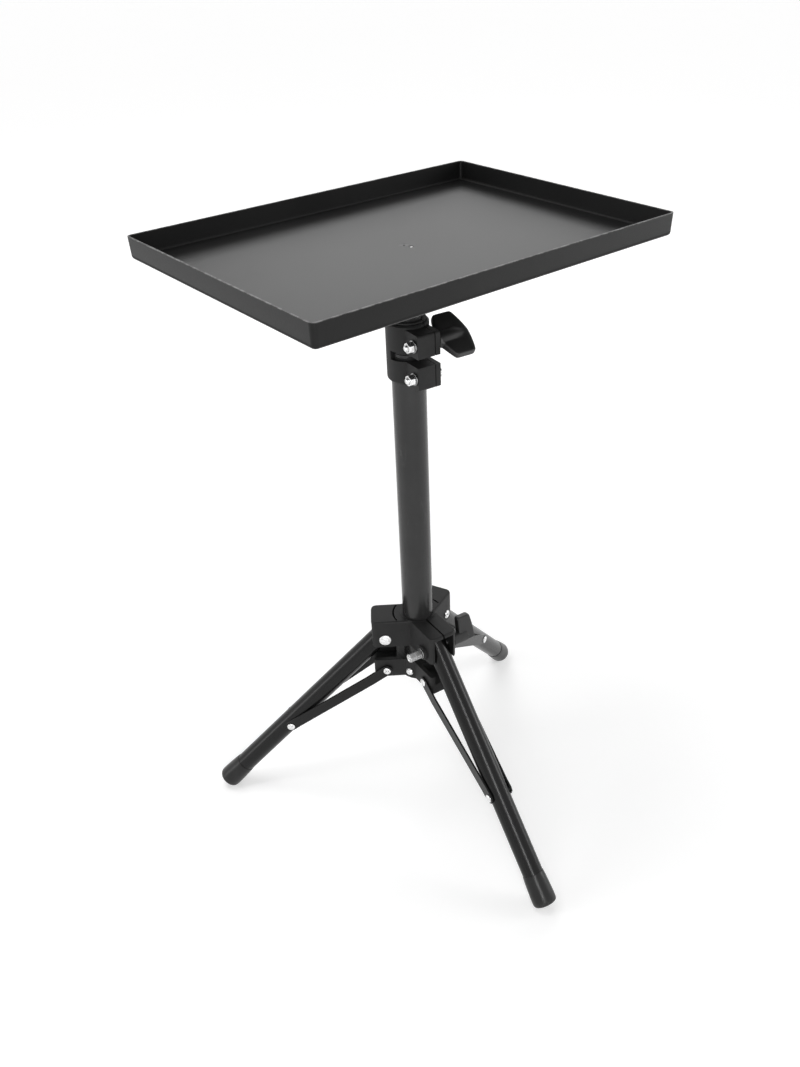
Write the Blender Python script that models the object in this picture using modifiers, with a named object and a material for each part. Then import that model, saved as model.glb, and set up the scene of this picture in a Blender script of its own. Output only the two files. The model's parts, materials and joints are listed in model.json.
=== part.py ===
"""Tripod laptop stand: a folding three-legged base, a telescopic column and a shallow metal tray.

Frame: origin on the column axis, on the flat underside of the column's foot plug. +Z is up,
+X runs along the long side of the tray. Lengths are metres, written in millimetres times MM.
Each leg works in its own upright plane through the column axis: x is the distance out from the
axis, y the distance across the plane and z the height.
"""
import math

import bmesh
import bpy
from mathutils import Matrix, Vector

MM = 0.001
UP = Vector((0, 0, 1))

# Clearances
FIT = 0.3 * MM
SLIDE_FIT = 0.25 * MM
HOLE_FIT = 0.3 * MM
CUT = 10.0 * MM

# Column, from the foot plug up
COLUMN_OD = 32.6 * MM
COLUMN_WALL = 1.5 * MM
COLUMN_TOP_Z = 381.0 * MM
PLUG_FLANGE = 3.0 * MM
PLUG_SPIGOT = 17.0 * MM
PLUG_LEAD = 1.5 * MM
PLUG_EDGE = 1.0 * MM

# Telescopic post
POST_OD = 28.0 * MM
POST_WALL = 1.3 * MM
POST_BOTTOM_Z = 61.0 * MM
GUIDE_LENGTH = 24.0 * MM
GUIDE_LIP = 4.0 * MM
GUIDE_BORE = 6.0 * MM
GUIDE_LEAD = 1.0 * MM
POST_IN_HEAD = 22.0 * MM

# Tray and the head that carries it
TRAY_LENGTH = 380.0 * MM
TRAY_WIDTH = 280.0 * MM
TRAY_DEPTH = 20.0 * MM
TRAY_RIM_Z = 495.5 * MM
TRAY_SHEET = 1.5 * MM
TRAY_CORNER = 4.5 * MM
TRAY_FOLD = 3.0 * MM
TRAY_DRAFT = 0.6 * MM
HEAD_FLANGE_RADIUS = 34.0 * MM
HEAD_FLANGE = 4.0 * MM
HEAD_FLANGE_EDGE = 1.0 * MM
HEAD_FILLET = 4.0 * MM
HEAD_SOCKET_WALL = 4.5 * MM
HEAD_SOCKET = 36.0 * MM
HEAD_SOCKET_EDGE = 1.5 * MM
TRAY_SCREW_RADIUS = 1.65 * MM
TRAY_SCREW_HEAD_RADIUS = 4.2 * MM
TRAY_SCREW_HEAD = 1.3 * MM
TRAY_SCREW_SUNK = 0.1 * MM
TRAY_SCREW_RECESS = 1.0 * MM
TRAY_SCREW_LENGTH = 14.0 * MM
TRAY_SCREW_TIP_GAP = 2.0 * MM
KEY_PIN_RADIUS = 1.6 * MM
KEY_PIN_OFFSET = 7.8 * MM
KEY_PIN_ANGLE = math.radians(-75)
KEY_PIN_DEPTH = 9.0 * MM
KEY_PIN_SUNK = 0.4 * MM

# Collar clamp at the top of the column
COLLAR_OVERLAP = 28.0 * MM
COLLAR_HEIGHT = 57.0 * MM
COLLAR_WALL = 3.9 * MM
COLLAR_FOOT_EDGE = 3.5 * MM
COLLAR_TOP_EDGE = 1.2 * MM
LUG_LENGTH = 15.8 * MM
LUG_HALF_WIDTH = 12.0 * MM
LOWER_LUG_HEIGHT = 23.5 * MM
COLLAR_SLOT = 8.5 * MM
UPPER_LUG_HEIGHT = 22.0 * MM
LUG_CORNER = 2.5 * MM
LUG_STEP = 0.6 * MM
COLLAR_SLOT_HALF_ANGLE = math.radians(84)
COLLAR_SPLIT = 0.9 * MM
COLLAR_SPLIT_OFFSET = 6.6 * MM
COLLAR_BOLT_OUT = 9.4 * MM
SLEEVE_LIP = 1.5 * MM
SLEEVE_LIP_HEIGHT = 2.0 * MM

# Crown: the upper hub that slides on the column
CROWN_BASE_Z = 43.5 * MM
CROWN_HEIGHT = 33.5 * MM
CROWN_SLEEVE_WALL = 2.7 * MM
CROWN_RING_RISE = 0.8 * MM
CROWN_ARM_END = 14.5 * MM
CROWN_ARM_CORNER = 6.0 * MM
CROWN_ARM_RIM = 2.0 * MM
CROWN_ROOF = 4.0 * MM
CROWN_CAVITY_WALL = 3.0 * MM
CROWN_SLIT = 2.0 * MM
CROWN_BOSS = 3.0 * MM
CROWN_BOSS_RADIUS = 8.0 * MM
CROWN_GROOVE = 1.9 * MM
CROWN_GROOVE_OUT = 4.8 * MM
CROWN_GROOVE_HALF_ANGLE = math.radians(31)
LEG_SIDE_GAP = 0.7 * MM
ARM_WALL = 4.7 * MM

# Spider: the lower hub, riveted to the column
SPIDER_HEIGHT = 25.5 * MM
SPIDER_SLEEVE_WALL = 7.2 * MM
SPIDER_FOOT_EDGE = 3.0 * MM
SPIDER_ARM_END = 13.5 * MM
SPIDER_STEP = 0.4 * MM
SPIDER_ARM_CORNER = 3.4 * MM
SPIDER_WEB_TOP = 14.5 * MM
SPIDER_SLOT_WALL = 1.5 * MM
SPIDER_RIVET_Z = 10.0 * MM
SPIDER_RIVET_DEPTH = 5.0 * MM

# Leg linkage in a leg's plane
PIVOT_OUT = 20.2 * MM
BRACE_PIVOT_Z = 11.6 * MM
LEG_PIVOT_RISE = 41.6 * MM
LEG_SPREAD = math.radians(43.0)
LEG_TO_BRACE = 167.0 * MM
LEG_LENGTH = 290.0 * MM
LEG_OD = 22.2 * MM
LEG_WALL = 1.2 * MM
LEG_ABOVE_PIVOT = 7.0 * MM
LEG_PLUG_LENGTH = 30.0 * MM
LEG_PLUG_EDGE = 1.5 * MM
LEG_PLUG_CROWN = 1.6 * MM
FOOT_WALL = 1.8 * MM
FOOT_LENGTH = 34.0 * MM
FOOT_BASE = 5.0 * MM
FOOT_EDGE = 3.5 * MM
FOOT_LIP_EDGE = 0.8 * MM
BAR_WIDTH = 12.6 * MM
BAR_THICKNESS = 2.0 * MM
BAR_HUB_FLAT = 24.0 * MM
BAR_LEG_FLAT = 9.0 * MM
PIVOT_RADIUS = 2.5 * MM
CROSS_PIN_SUNK = 0.1 * MM
BAR_RIVET_GAP = 0.05 * MM
RIVET_HEAD_RADIUS = 4.4 * MM
RIVET_HEAD = 1.6 * MM
RIVET_BORE = 1.5 * MM
CROWN_RIVET_HEAD_RADIUS = 6.6 * MM
CROWN_RIVET_TAIL_RADIUS = 5.0 * MM

# Bolts, nuts and hand knobs
BOLT_RADIUS = 3.0 * MM
BOLT_CHAMFER = 0.8 * MM
BOLT_TAIL = 2.0 * MM
BOLT_HEAD_RADIUS = 5.0 * MM
BOLT_HEAD = 4.0 * MM
BOLT_SOCKET = 2.0 * MM
NUT_ACROSS_FLATS = 10.0 * MM
NUT_HEIGHT = 5.5 * MM
LONG_NUT_HEIGHT = 14.0 * MM
WASHER_RADIUS = 6.3 * MM
WASHER_THICKNESS = 1.3 * MM
KNOB_HUB_RADIUS = 7.3 * MM
KNOB_THICKNESS = 8.0 * MM
KNOB_CORNER = 3.0 * MM
KNOB_EDGE = 1.6 * MM
KNOB_HUB_CAP = 2.0 * MM
WING_OUTER_END = 25.0 * MM
WING_INNER_END = 22.0 * MM
WING_HUB = 9.0 * MM
WING_WIDTH = 18.0 * MM
WING_CROWN = 5.5 * MM
WING_TURN = math.radians(30)
LEVER_HUB = 7.2 * MM
LEVER_WIDTH = 20.0 * MM
LEVER_TIP_WIDTH = 16.0 * MM
LEVER_CROWN = 0.6 * MM
LEVER_LONG_END = 25.0 * MM
LEVER_SHORT_END = 6.0 * MM
LEVER_TURN = math.radians(-97.5)

# Places that follow from the sizes above
LEG_NAMES = ("front", "back", "left")
LEG_TURNS = (0.0, 2 * math.pi / 3, 4 * math.pi / 3)
FRONT_LEG_ANGLE = math.radians(263.4)
COLUMN_RADIUS = COLUMN_OD / 2
COLUMN_BORE = COLUMN_RADIUS - COLUMN_WALL
POST_RADIUS = POST_OD / 2
POST_BORE = POST_RADIUS - POST_WALL
LEG_RADIUS = LEG_OD / 2
LEG_BORE = LEG_RADIUS - LEG_WALL
FOOT_RADIUS = LEG_RADIUS + FOOT_WALL
ARM_CAVITY_HALF_WIDTH = LEG_RADIUS + LEG_SIDE_GAP
ARM_HALF_WIDTH = ARM_CAVITY_HALF_WIDTH + ARM_WALL
PIVOT_REACH = COLUMN_RADIUS + PIVOT_OUT
CROWN_ARM_REACH = PIVOT_REACH + CROWN_ARM_END
SPIDER_ARM_REACH = PIVOT_REACH + SPIDER_ARM_END
CROWN_SLEEVE_RADIUS = COLUMN_RADIUS + CROWN_SLEEVE_WALL
CROWN_CAVITY_START = CROWN_SLEEVE_RADIUS + CROWN_CAVITY_WALL
CROWN_GROOVE_RADIUS = CROWN_CAVITY_START + CROWN_GROOVE_OUT
SPIDER_SLEEVE_RADIUS = COLUMN_RADIUS + SPIDER_SLEEVE_WALL
SPIDER_SLOT_START = SPIDER_SLEEVE_RADIUS + SPIDER_SLOT_WALL
HEAD_SOCKET_RADIUS = POST_RADIUS + HEAD_SOCKET_WALL
COLLAR_RADIUS = COLUMN_RADIUS + COLLAR_WALL
LUG_REACH = COLLAR_RADIUS + LUG_LENGTH
COLLAR_BOLT_REACH = COLLAR_RADIUS + COLLAR_BOLT_OUT
COLLAR_BASE_Z = COLUMN_TOP_Z - COLLAR_OVERLAP
COLLAR_TOP_Z = COLLAR_BASE_Z + COLLAR_HEIGHT
LEG_PIVOT_Z = BRACE_PIVOT_Z + LEG_PIVOT_RISE
CROWN_PIVOT_Z = LEG_PIVOT_Z - CROWN_BASE_Z
BRACE_END_X = PIVOT_REACH + LEG_TO_BRACE * math.sin(LEG_SPREAD)
BRACE_END_Z = LEG_PIVOT_Z - LEG_TO_BRACE * math.cos(LEG_SPREAD)
BRACE_LENGTH = math.hypot(BRACE_END_X - PIVOT_REACH, BRACE_END_Z - BRACE_PIVOT_Z)
BRACE_ANGLE = math.atan2(BRACE_END_X - PIVOT_REACH, BRACE_END_Z - BRACE_PIVOT_Z)
BAR_HUB_Y = ARM_HALF_WIDTH + FIT
BAR_LEG_Y = LEG_RADIUS + FIT
TRAY_UNDERSIDE_Z = TRAY_RIM_Z - TRAY_DEPTH
TRAY_FLOOR_Z = TRAY_UNDERSIDE_Z + TRAY_SHEET
HEAD_TOP_Z = TRAY_UNDERSIDE_Z - FIT
HEAD_BOTTOM_Z = HEAD_TOP_Z - HEAD_FLANGE - HEAD_SOCKET
POST_TOP_Z = HEAD_BOTTOM_Z + POST_IN_HEAD
KEY_PIN_X = KEY_PIN_OFFSET * math.cos(KEY_PIN_ANGLE)
KEY_PIN_Y = KEY_PIN_OFFSET * math.sin(KEY_PIN_ANGLE)
LOWER_LUG_TOP_Z = COLLAR_BASE_Z + LOWER_LUG_HEIGHT
UPPER_LUG_BASE_Z = LOWER_LUG_TOP_Z + COLLAR_SLOT
UPPER_LUG_TOP_Z = UPPER_LUG_BASE_Z + UPPER_LUG_HEIGHT
LOWER_BOLT_Z = COLLAR_BASE_Z + LOWER_LUG_HEIGHT / 2
UPPER_BOLT_Z = UPPER_LUG_BASE_Z + UPPER_LUG_HEIGHT / 2

# Facets round a full turn
FINE = 32
MEDIUM = 24
COARSE = 16
SMALL = 12

COLOURS = {
    "black_enamel": ((0.028, 0.029, 0.030), 0.42, 0.0),
    "column_satin": ((0.060, 0.060, 0.061), 0.34, 0.35),
    "leg_gloss": ((0.014, 0.014, 0.015), 0.16, 0.0),
    "moulded_black": ((0.030, 0.032, 0.032), 0.55, 0.0),
    "knob_black": ((0.010, 0.010, 0.010), 0.38, 0.0),
    "bare_steel": ((0.62, 0.62, 0.60), 0.28, 1.0),
    "foot_rubber": ((0.020, 0.020, 0.020), 0.80, 0.0),
}


def clear_scene():
    for obj in list(bpy.data.objects):
        bpy.data.objects.remove(obj, do_unlink=True)


def make_collection(name):
    collection = bpy.data.collections.new(name)
    bpy.context.scene.collection.children.link(collection)
    return collection


def make_material(node_name, finish):
    colour, roughness, metallic = COLOURS[finish]
    material = bpy.data.materials.new(node_name + "_" + finish)
    material.use_nodes = True
    shader = material.node_tree.nodes["Principled BSDF"]
    shader.inputs["Base Color"].default_value = (*colour, 1.0)
    shader.inputs["Roughness"].default_value = roughness
    shader.inputs["Metallic"].default_value = metallic
    material.diffuse_color = (*colour, 1.0)
    return material


def make_frame(name, parent=None, location=(0, 0, 0), rotation=(0, 0, 0)):
    """An empty that marks a joint or a hub, and carries the pieces built round it."""
    frame = bpy.data.objects.new(name, None)
    frame.empty_display_size = 0.02
    frame.parent = parent
    frame.location = location
    frame.rotation_euler = rotation
    PARTS.objects.link(frame)
    return frame


def add_part(name, mesh, finish, frame):
    part = bpy.data.objects.new(name, mesh)
    part.parent = frame
    mesh.materials.append(make_material(name, finish))
    PARTS.objects.link(part)
    return part


def add_tool(name, mesh, frame):
    """A cutter, or a body that a part is joined with. It isn't a piece of the stand."""
    tool = bpy.data.objects.new(name, mesh)
    tool.parent = frame
    tool.hide_render = True
    tool.display_type = "WIRE"
    TOOLS.objects.link(tool)
    return tool


def combine(part, tools, operation="DIFFERENCE"):
    for tool in tools:
        boolean = part.modifiers.new(tool.name, "BOOLEAN")
        boolean.operation = operation
        boolean.solver = "EXACT"
        boolean.object = tool


def mesh_from(build):
    mesh = bpy.data.meshes.new("shape")
    build.to_mesh(mesh)
    build.free()
    mesh.shade_smooth()
    mesh.set_sharp_from_angle(angle=math.radians(35))
    return mesh


def turned_about_column(mesh, angle):
    mesh.transform(Matrix.Rotation(angle, 4, "Z"))
    return mesh


def box_edges_along(build, axis):
    edges = []
    for edge in build.edges:
        along = edge.verts[1].co - edge.verts[0].co
        if abs(along[axis]) > 0.9 * along.length:
            edges.append(edge)
    return edges


def round_rim(build, rim, rim_z):
    """Rounds the edges that lie flat at the height rim_z."""
    rims = [edge for edge in build.edges if all(abs(vert.co.z - rim_z) < FIT for vert in edge.verts)]
    bmesh.ops.bevel(build, geom=rims, offset=rim, segments=2, profile=0.5, affect="EDGES")


def block(low, high, corner=0.0, corner_axis=2, rim=0.0, rim_z=0.0):
    """A box between two corners. It can have its edges along one axis rounded, then its rim at rim_z."""
    build = bmesh.new()
    bmesh.ops.create_cube(build, size=1.0)
    low, high = Vector(low), Vector(high)
    bmesh.ops.scale(build, vec=high - low, verts=build.verts)
    bmesh.ops.translate(build, vec=(low + high) / 2, verts=build.verts)
    if corner:
        bmesh.ops.bevel(build, geom=box_edges_along(build, corner_axis), offset=corner, segments=3,
                        profile=0.5, affect="EDGES")
    if rim:
        round_rim(build, rim, rim_z)
    return mesh_from(build)


def rod(start, end, radius, facets=SMALL, end_radius=None):
    """A cylinder or cone between two points."""
    start, end = Vector(start), Vector(end)
    build = bmesh.new()
    top_radius = radius if end_radius is None else end_radius
    bmesh.ops.create_cone(build, cap_ends=True, segments=facets, radius1=radius, radius2=top_radius,
                          depth=(end - start).length)
    turn = UP.rotation_difference(end - start).to_matrix().to_4x4()
    bmesh.ops.transform(build, matrix=Matrix.Translation((start + end) / 2) @ turn, verts=build.verts)
    return mesh_from(build)


def hub_core(radius, height, foot_edge=0.0):
    """The solid core of a hub, before its bore is cut."""
    build = bmesh.new()
    bmesh.ops.create_cone(build, cap_ends=True, segments=FINE, radius1=radius, radius2=radius, depth=height)
    bmesh.ops.translate(build, vec=(0, 0, height / 2), verts=build.verts)
    if foot_edge:
        round_rim(build, foot_edge, 0)
    return mesh_from(build)


def turned(name, profile, finish, frame, facets=FINE, axis=UP, origin=(0, 0, 0)):
    """A lathe-turned piece. The profile lists (radius, height) down its outside, then up its bore."""
    build = bmesh.new()
    corners = [build.verts.new((radius, 0, height)) for radius, height in profile]
    for index, first in enumerate(profile):
        following = (index + 1) % len(profile)
        if first[0] > 0 or profile[following][0] > 0:
            build.edges.new((corners[index], corners[following]))
    mesh = bpy.data.meshes.new(name)
    build.to_mesh(mesh)
    build.free()
    part = add_part(name, mesh, finish, frame)
    part.location = origin
    part.rotation_euler = UP.rotation_difference(Vector(axis)).to_euler()
    screw = part.modifiers.new("turn", "SCREW")
    screw.steps = facets
    screw.render_steps = facets
    screw.use_merge_vertices = True
    screw.merge_threshold = 0.01 * MM
    screw.use_smooth_shade = True
    return part


def arc(centre, radius, start_angle, end_angle, steps):
    """Points on a round corner, for profiles and outlines."""
    points = []
    for step in range(steps + 1):
        angle = start_angle + (end_angle - start_angle) * step / steps
        points.append((centre[0] + radius * math.cos(angle), centre[1] + radius * math.sin(angle)))
    return points


def plate(outline, thickness, edge=0.0):
    """A flat outline in x and z, thickened both ways along y. Its rims are rounded by edge."""
    curve = bpy.data.curves.new("outline", "CURVE")
    curve.dimensions = "2D"
    curve.fill_mode = "BOTH"
    curve.extrude = thickness / 2
    spline = curve.splines.new("POLY")
    spline.points.add(len(outline) - 1)
    for point, (x, z) in zip(spline.points, outline):
        point.co = (x, z, 0, 1)
    spline.use_cyclic_u = True
    drawn = bpy.data.objects.new("outline", curve)
    TOOLS.objects.link(drawn)
    bpy.context.view_layer.update()
    evaluated = drawn.evaluated_get(bpy.context.evaluated_depsgraph_get())
    mesh = bpy.data.meshes.new_from_object(evaluated)
    bpy.data.objects.remove(drawn)
    build = bmesh.new()
    build.from_mesh(mesh)
    bmesh.ops.remove_doubles(build, verts=build.verts, dist=0.001 * MM)
    bmesh.ops.dissolve_limit(build, angle_limit=math.radians(1), verts=build.verts, edges=build.edges)
    if edge:
        rims = [e for e in build.edges if e.is_manifold and e.calc_face_angle() > math.radians(80)
                and abs(e.verts[0].co.z - e.verts[1].co.z) < 0.001 * MM]
        bmesh.ops.bevel(build, geom=rims, offset=edge, segments=2, profile=0.5, affect="EDGES")
    bmesh.ops.transform(build, matrix=Matrix.Rotation(math.radians(90), 4, "X"), verts=build.verts)
    return mesh_from(build)


def hex_nut(name, frame, x, z, seat_y, height):
    """A hexagon nut with chamfered corners and a plain hole, seated at seat_y and pointing to -y."""
    half_flats = NUT_ACROSS_FLATS / 2
    corner = half_flats / math.cos(math.radians(30))
    end_y = seat_y - height
    nut = add_part(name, rod((x, seat_y, z), (x, end_y, z), corner, 6), "bare_steel", frame)
    cone = rod((x, seat_y + corner, z), (x, end_y, z), half_flats + height, MEDIUM, half_flats)
    hole = rod((x, seat_y + CUT, z), (x, end_y - CUT, z), BOLT_RADIUS + HOLE_FIT)
    combine(nut, [add_tool(name + "_chamfer", cone, frame)], "INTERSECT")
    combine(nut, [add_tool(name + "_hole", hole, frame)])


def washer(name, frame, x, z, seat_y):
    """A plain washer lying against a face square to y, on its -y side."""
    inner = BOLT_RADIUS + HOLE_FIT
    profile = [(inner, WASHER_THICKNESS), (WASHER_RADIUS, WASHER_THICKNESS), (WASHER_RADIUS, 0), (inner, 0)]
    turned(name, profile, "bare_steel", frame, COARSE, (0, -1, 0), (x, seat_y, z))


def bolt_shank(name, frame, start_y, end_y):
    """A plain bolt shank along y, with a chamfered tail at start_y."""
    length = end_y - start_y
    profile = [(0, length), (BOLT_RADIUS, length), (BOLT_RADIUS, BOLT_CHAMFER)]
    profile += [(BOLT_RADIUS - BOLT_CHAMFER, 0), (0, 0)]
    turned(name, profile, "bare_steel", frame, SMALL, (0, 1, 0), (0, start_y, 0))


def domed_head(radius, seat):
    """The profile of a rivet's domed head, down to its seat."""
    top = seat + RIVET_HEAD
    return [(0, top), (radius * 0.6, top - RIVET_HEAD * 0.15), (radius * 0.93, seat + RIVET_HEAD * 0.4),
            (radius, seat)]


def across_rivet(name, frame, x, z, grip, head_radius, tail_radius, head_side=1):
    """A semi-tubular rivet along y, from its domed head to its rolled, hollow tail."""
    seat = grip / 2
    tail_end = -seat - RIVET_HEAD
    profile = domed_head(head_radius, seat)
    profile += [(PIVOT_RADIUS, seat), (PIVOT_RADIUS, -seat), (tail_radius, -seat)]
    profile += [(tail_radius * 0.8, tail_end), (RIVET_BORE + RIVET_HEAD * 0.3, tail_end)]
    profile += [(RIVET_BORE, tail_end + RIVET_HEAD * 1.6), (0, tail_end + RIVET_HEAD * 1.9)]
    turned(name, profile, "bare_steel", frame, SMALL, (0, head_side, 0), (x, 0, z))


def build_column(column_frame, holes):
    tube_foot = PLUG_FLANGE + FIT
    profile = [(COLUMN_BORE, COLUMN_TOP_Z), (COLUMN_RADIUS, COLUMN_TOP_Z), (COLUMN_RADIUS, tube_foot),
               (COLUMN_BORE, tube_foot)]
    combine(turned("outer_tube", profile, "column_satin", column_frame), holes)
    spigot = COLUMN_BORE - FIT
    spigot_top = PLUG_FLANGE + PLUG_SPIGOT
    profile = [(0, spigot_top), (spigot - PLUG_LEAD, spigot_top), (spigot, spigot_top - PLUG_LEAD)]
    profile += [(spigot, PLUG_FLANGE), (COLUMN_RADIUS, PLUG_FLANGE), (COLUMN_RADIUS, PLUG_EDGE)]
    profile += [(COLUMN_RADIUS - PLUG_EDGE, 0), (0, 0)]
    combine(turned("column_foot_plug", profile, "moulded_black", column_frame, MEDIUM), holes)


def rivet_hole_tools(column_frame):
    """Three radial holes between the arms, through spider, tube and plug."""
    inner = COLUMN_BORE - SPIDER_RIVET_DEPTH - FIT
    tools = []
    for index, angle in enumerate(LEG_TURNS):
        mesh = rod((inner, 0, SPIDER_RIVET_Z), (SPIDER_SLEEVE_RADIUS + CUT, 0, SPIDER_RIVET_Z),
                   PIVOT_RADIUS + HOLE_FIT)
        turned_about_column(mesh, angle + math.pi / 3)
        tools.append(add_tool("rivet_hole_%d" % (index + 1), mesh, column_frame))
    return tools


def build_spider(column_frame, holes):
    """The fixed hub: a sleeve and three arms, each a trough for a folded leg."""
    core = hub_core(SPIDER_SLEEVE_RADIUS, SPIDER_HEIGHT, SPIDER_FOOT_EDGE)
    spider = add_part("lower_spider", core, "moulded_black", column_frame)
    arms = []
    slots = []
    pins = []
    for name, angle in zip(LEG_NAMES, LEG_TURNS):
        arm = block((COLUMN_RADIUS / 2, -ARM_HALF_WIDTH, SPIDER_STEP),
                    (SPIDER_ARM_REACH, ARM_HALF_WIDTH, SPIDER_HEIGHT - SPIDER_STEP),
                    SPIDER_ARM_CORNER, 2, SPIDER_FOOT_EDGE, SPIDER_STEP)
        slot = block((SPIDER_SLOT_START, -ARM_CAVITY_HALF_WIDTH, SPIDER_WEB_TOP),
                     (SPIDER_ARM_REACH + CUT, ARM_CAVITY_HALF_WIDTH, SPIDER_HEIGHT + CUT))
        pin = rod((PIVOT_REACH, -2 * ARM_HALF_WIDTH, BRACE_PIVOT_Z),
                  (PIVOT_REACH, 2 * ARM_HALF_WIDTH, BRACE_PIVOT_Z), PIVOT_RADIUS + HOLE_FIT)
        arms.append(add_tool("spider_arm_" + name, turned_about_column(arm, angle), column_frame))
        slots.append(add_tool("spider_slot_" + name, turned_about_column(slot, angle), column_frame))
        pins.append(add_tool("spider_pin_hole_" + name, turned_about_column(pin, angle), column_frame))
    bore = rod((0, 0, -CUT), (0, 0, SPIDER_HEIGHT + CUT), COLUMN_RADIUS + FIT, FINE)
    combine(spider, arms, "UNION")
    combine(spider, slots + [add_tool("spider_bore", bore, column_frame)] + pins + holes)


def build_spider_rivets(column_frame):
    """Blind rivets that hold the spider and the foot plug in the column."""
    inner = COLUMN_BORE - SPIDER_RIVET_DEPTH
    seat = SPIDER_SLEEVE_RADIUS + FIT - inner
    top = seat + RIVET_HEAD
    profile = [(0, seat + RIVET_HEAD * 0.5), (RIVET_BORE, seat + RIVET_HEAD * 0.6)]
    profile += [(RIVET_BORE + RIVET_HEAD * 0.3, top), (RIVET_HEAD_RADIUS * 0.7, top)]
    profile += [(RIVET_HEAD_RADIUS, seat)]
    profile += [(PIVOT_RADIUS, seat), (PIVOT_RADIUS, 0), (0, 0)]
    for index, angle in enumerate(LEG_TURNS):
        turn = angle + math.pi / 3
        direction = (math.cos(turn), math.sin(turn), 0)
        origin = (inner * math.cos(turn), inner * math.sin(turn), SPIDER_RIVET_Z)
        turned("spider_rivet_%d" % (index + 1), profile, "bare_steel", column_frame, SMALL, direction, origin)


def build_crown(crown_frame):
    """The sliding hub: a sleeve, three roofed arms open below and outwards, and a clamp slit."""
    core = hub_core(CROWN_SLEEVE_RADIUS, CROWN_HEIGHT + CROWN_RING_RISE)
    crown = add_part("upper_crown", core, "moulded_black", crown_frame)
    arms = []
    cuts = []
    for name, angle in zip(LEG_NAMES, LEG_TURNS):
        arm = block((-CROWN_ARM_CORNER, -ARM_HALF_WIDTH, 0),
                    (CROWN_ARM_REACH, ARM_HALF_WIDTH, CROWN_HEIGHT),
                    CROWN_ARM_CORNER, 2, CROWN_ARM_RIM, CROWN_HEIGHT)
        arms.append(add_tool("crown_arm_" + name, turned_about_column(arm, angle), crown_frame))
        cavity = block((CROWN_CAVITY_START, -ARM_CAVITY_HALF_WIDTH, -CUT),
                       (CROWN_ARM_REACH + CUT, ARM_CAVITY_HALF_WIDTH, CROWN_HEIGHT - CROWN_ROOF))
        cuts.append(add_tool("crown_cavity_" + name, turned_about_column(cavity, angle), crown_frame))
    boss_y = ARM_HALF_WIDTH + CROWN_BOSS
    boss = rod((PIVOT_REACH, -boss_y, CROWN_PIVOT_Z), (PIVOT_REACH, boss_y, CROWN_PIVOT_Z),
               CROWN_BOSS_RADIUS, COARSE)
    combine(crown, arms + [add_tool("crown_boss", boss, crown_frame)], "UNION")
    cuts += crown_grooves(crown_frame)
    bore = rod((0, 0, -CUT), (0, 0, CROWN_HEIGHT + CUT), COLUMN_RADIUS + FIT, FINE)
    slit = block((0, -CROWN_SLIT / 2, -CUT), (CROWN_ARM_REACH + CUT, CROWN_SLIT / 2, CROWN_HEIGHT + CUT))
    cuts += [add_tool("crown_bore", bore, crown_frame), add_tool("crown_slit", slit, crown_frame)]
    for name, angle in zip(LEG_NAMES, LEG_TURNS):
        hole_radius = BOLT_RADIUS if name == "front" else PIVOT_RADIUS
        pin = rod((PIVOT_REACH, -2 * ARM_HALF_WIDTH, CROWN_PIVOT_Z),
                  (PIVOT_REACH, 2 * ARM_HALF_WIDTH, CROWN_PIVOT_Z), hole_radius + HOLE_FIT)
        cuts.append(add_tool("crown_pin_hole_" + name, turned_about_column(pin, angle), crown_frame))
    combine(crown, cuts)


def crown_grooves(crown_frame):
    """A round groove about the column through the roof of the back arm and of the left arm."""
    half = CROWN_GROOVE_HALF_ANGLE
    outline = arc((0, 0), CROWN_GROOVE_RADIUS + CROWN_GROOVE / 2, -half, half, 6)
    outline += arc((0, 0), CROWN_GROOVE_RADIUS - CROWN_GROOVE / 2, half, -half, 6)
    grooves = []
    for name, angle in zip(LEG_NAMES[1:], LEG_TURNS[1:]):
        groove = plate(outline, 3 * CROWN_ROOF)
        groove.transform(Matrix.Rotation(math.radians(-90), 4, "X"))
        groove.transform(Matrix.Translation((0, 0, CROWN_HEIGHT)))
        grooves.append(add_tool("crown_groove_" + name, turned_about_column(groove, angle), crown_frame))
    return grooves


def knob_outline(inner_y, outer_low_y, outer_high_y, crown_rise, low_end, high_end):
    """Outline of a knob's wing: x along the wing and y outwards along its bolt."""
    quarter = math.pi / 2
    low_x = KNOB_CORNER - low_end
    high_x = high_end - KNOB_CORNER
    points = arc((high_x, inner_y + KNOB_CORNER), KNOB_CORNER, -quarter, 0, 3)
    points += arc((high_x, outer_high_y - KNOB_CORNER), KNOB_CORNER, 0, quarter * 0.8, 3)
    steps = 6
    for step in range(1, steps):
        share = step / steps
        edge_y = outer_high_y * (1 - share) + outer_low_y * share
        points.append((high_x * (1 - share) + low_x * share, edge_y + crown_rise * math.sin(math.pi * share)))
    points += arc((low_x, outer_low_y - KNOB_CORNER), KNOB_CORNER, quarter * 1.2, quarter * 2, 3)
    points += arc((low_x, inner_y + KNOB_CORNER), KNOB_CORNER, quarter * 2, quarter * 3, 3)
    return points


def build_knob(name, knob_frame, outline, hub_start, bolt_end):
    """A moulded wing on a round hub. The knob frame's y is the bolt axis, out of the clamp."""
    wing = plate(outline, KNOB_THICKNESS, KNOB_EDGE)
    wing.transform(Matrix.Rotation(math.radians(-90), 4, "X"))
    knob = add_part(name, wing, "knob_black", knob_frame)
    hub = rod((0, hub_start, 0), (0, bolt_end + KNOB_HUB_CAP, 0), KNOB_HUB_RADIUS, MEDIUM)
    hole = rod((0, hub_start - CUT, 0), (0, bolt_end + FIT, 0), BOLT_RADIUS + HOLE_FIT)
    combine(knob, [add_tool(name + "_hub", hub, knob_frame)], "UNION")
    combine(knob, [add_tool(name + "_hole", hole, knob_frame)])


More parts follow.
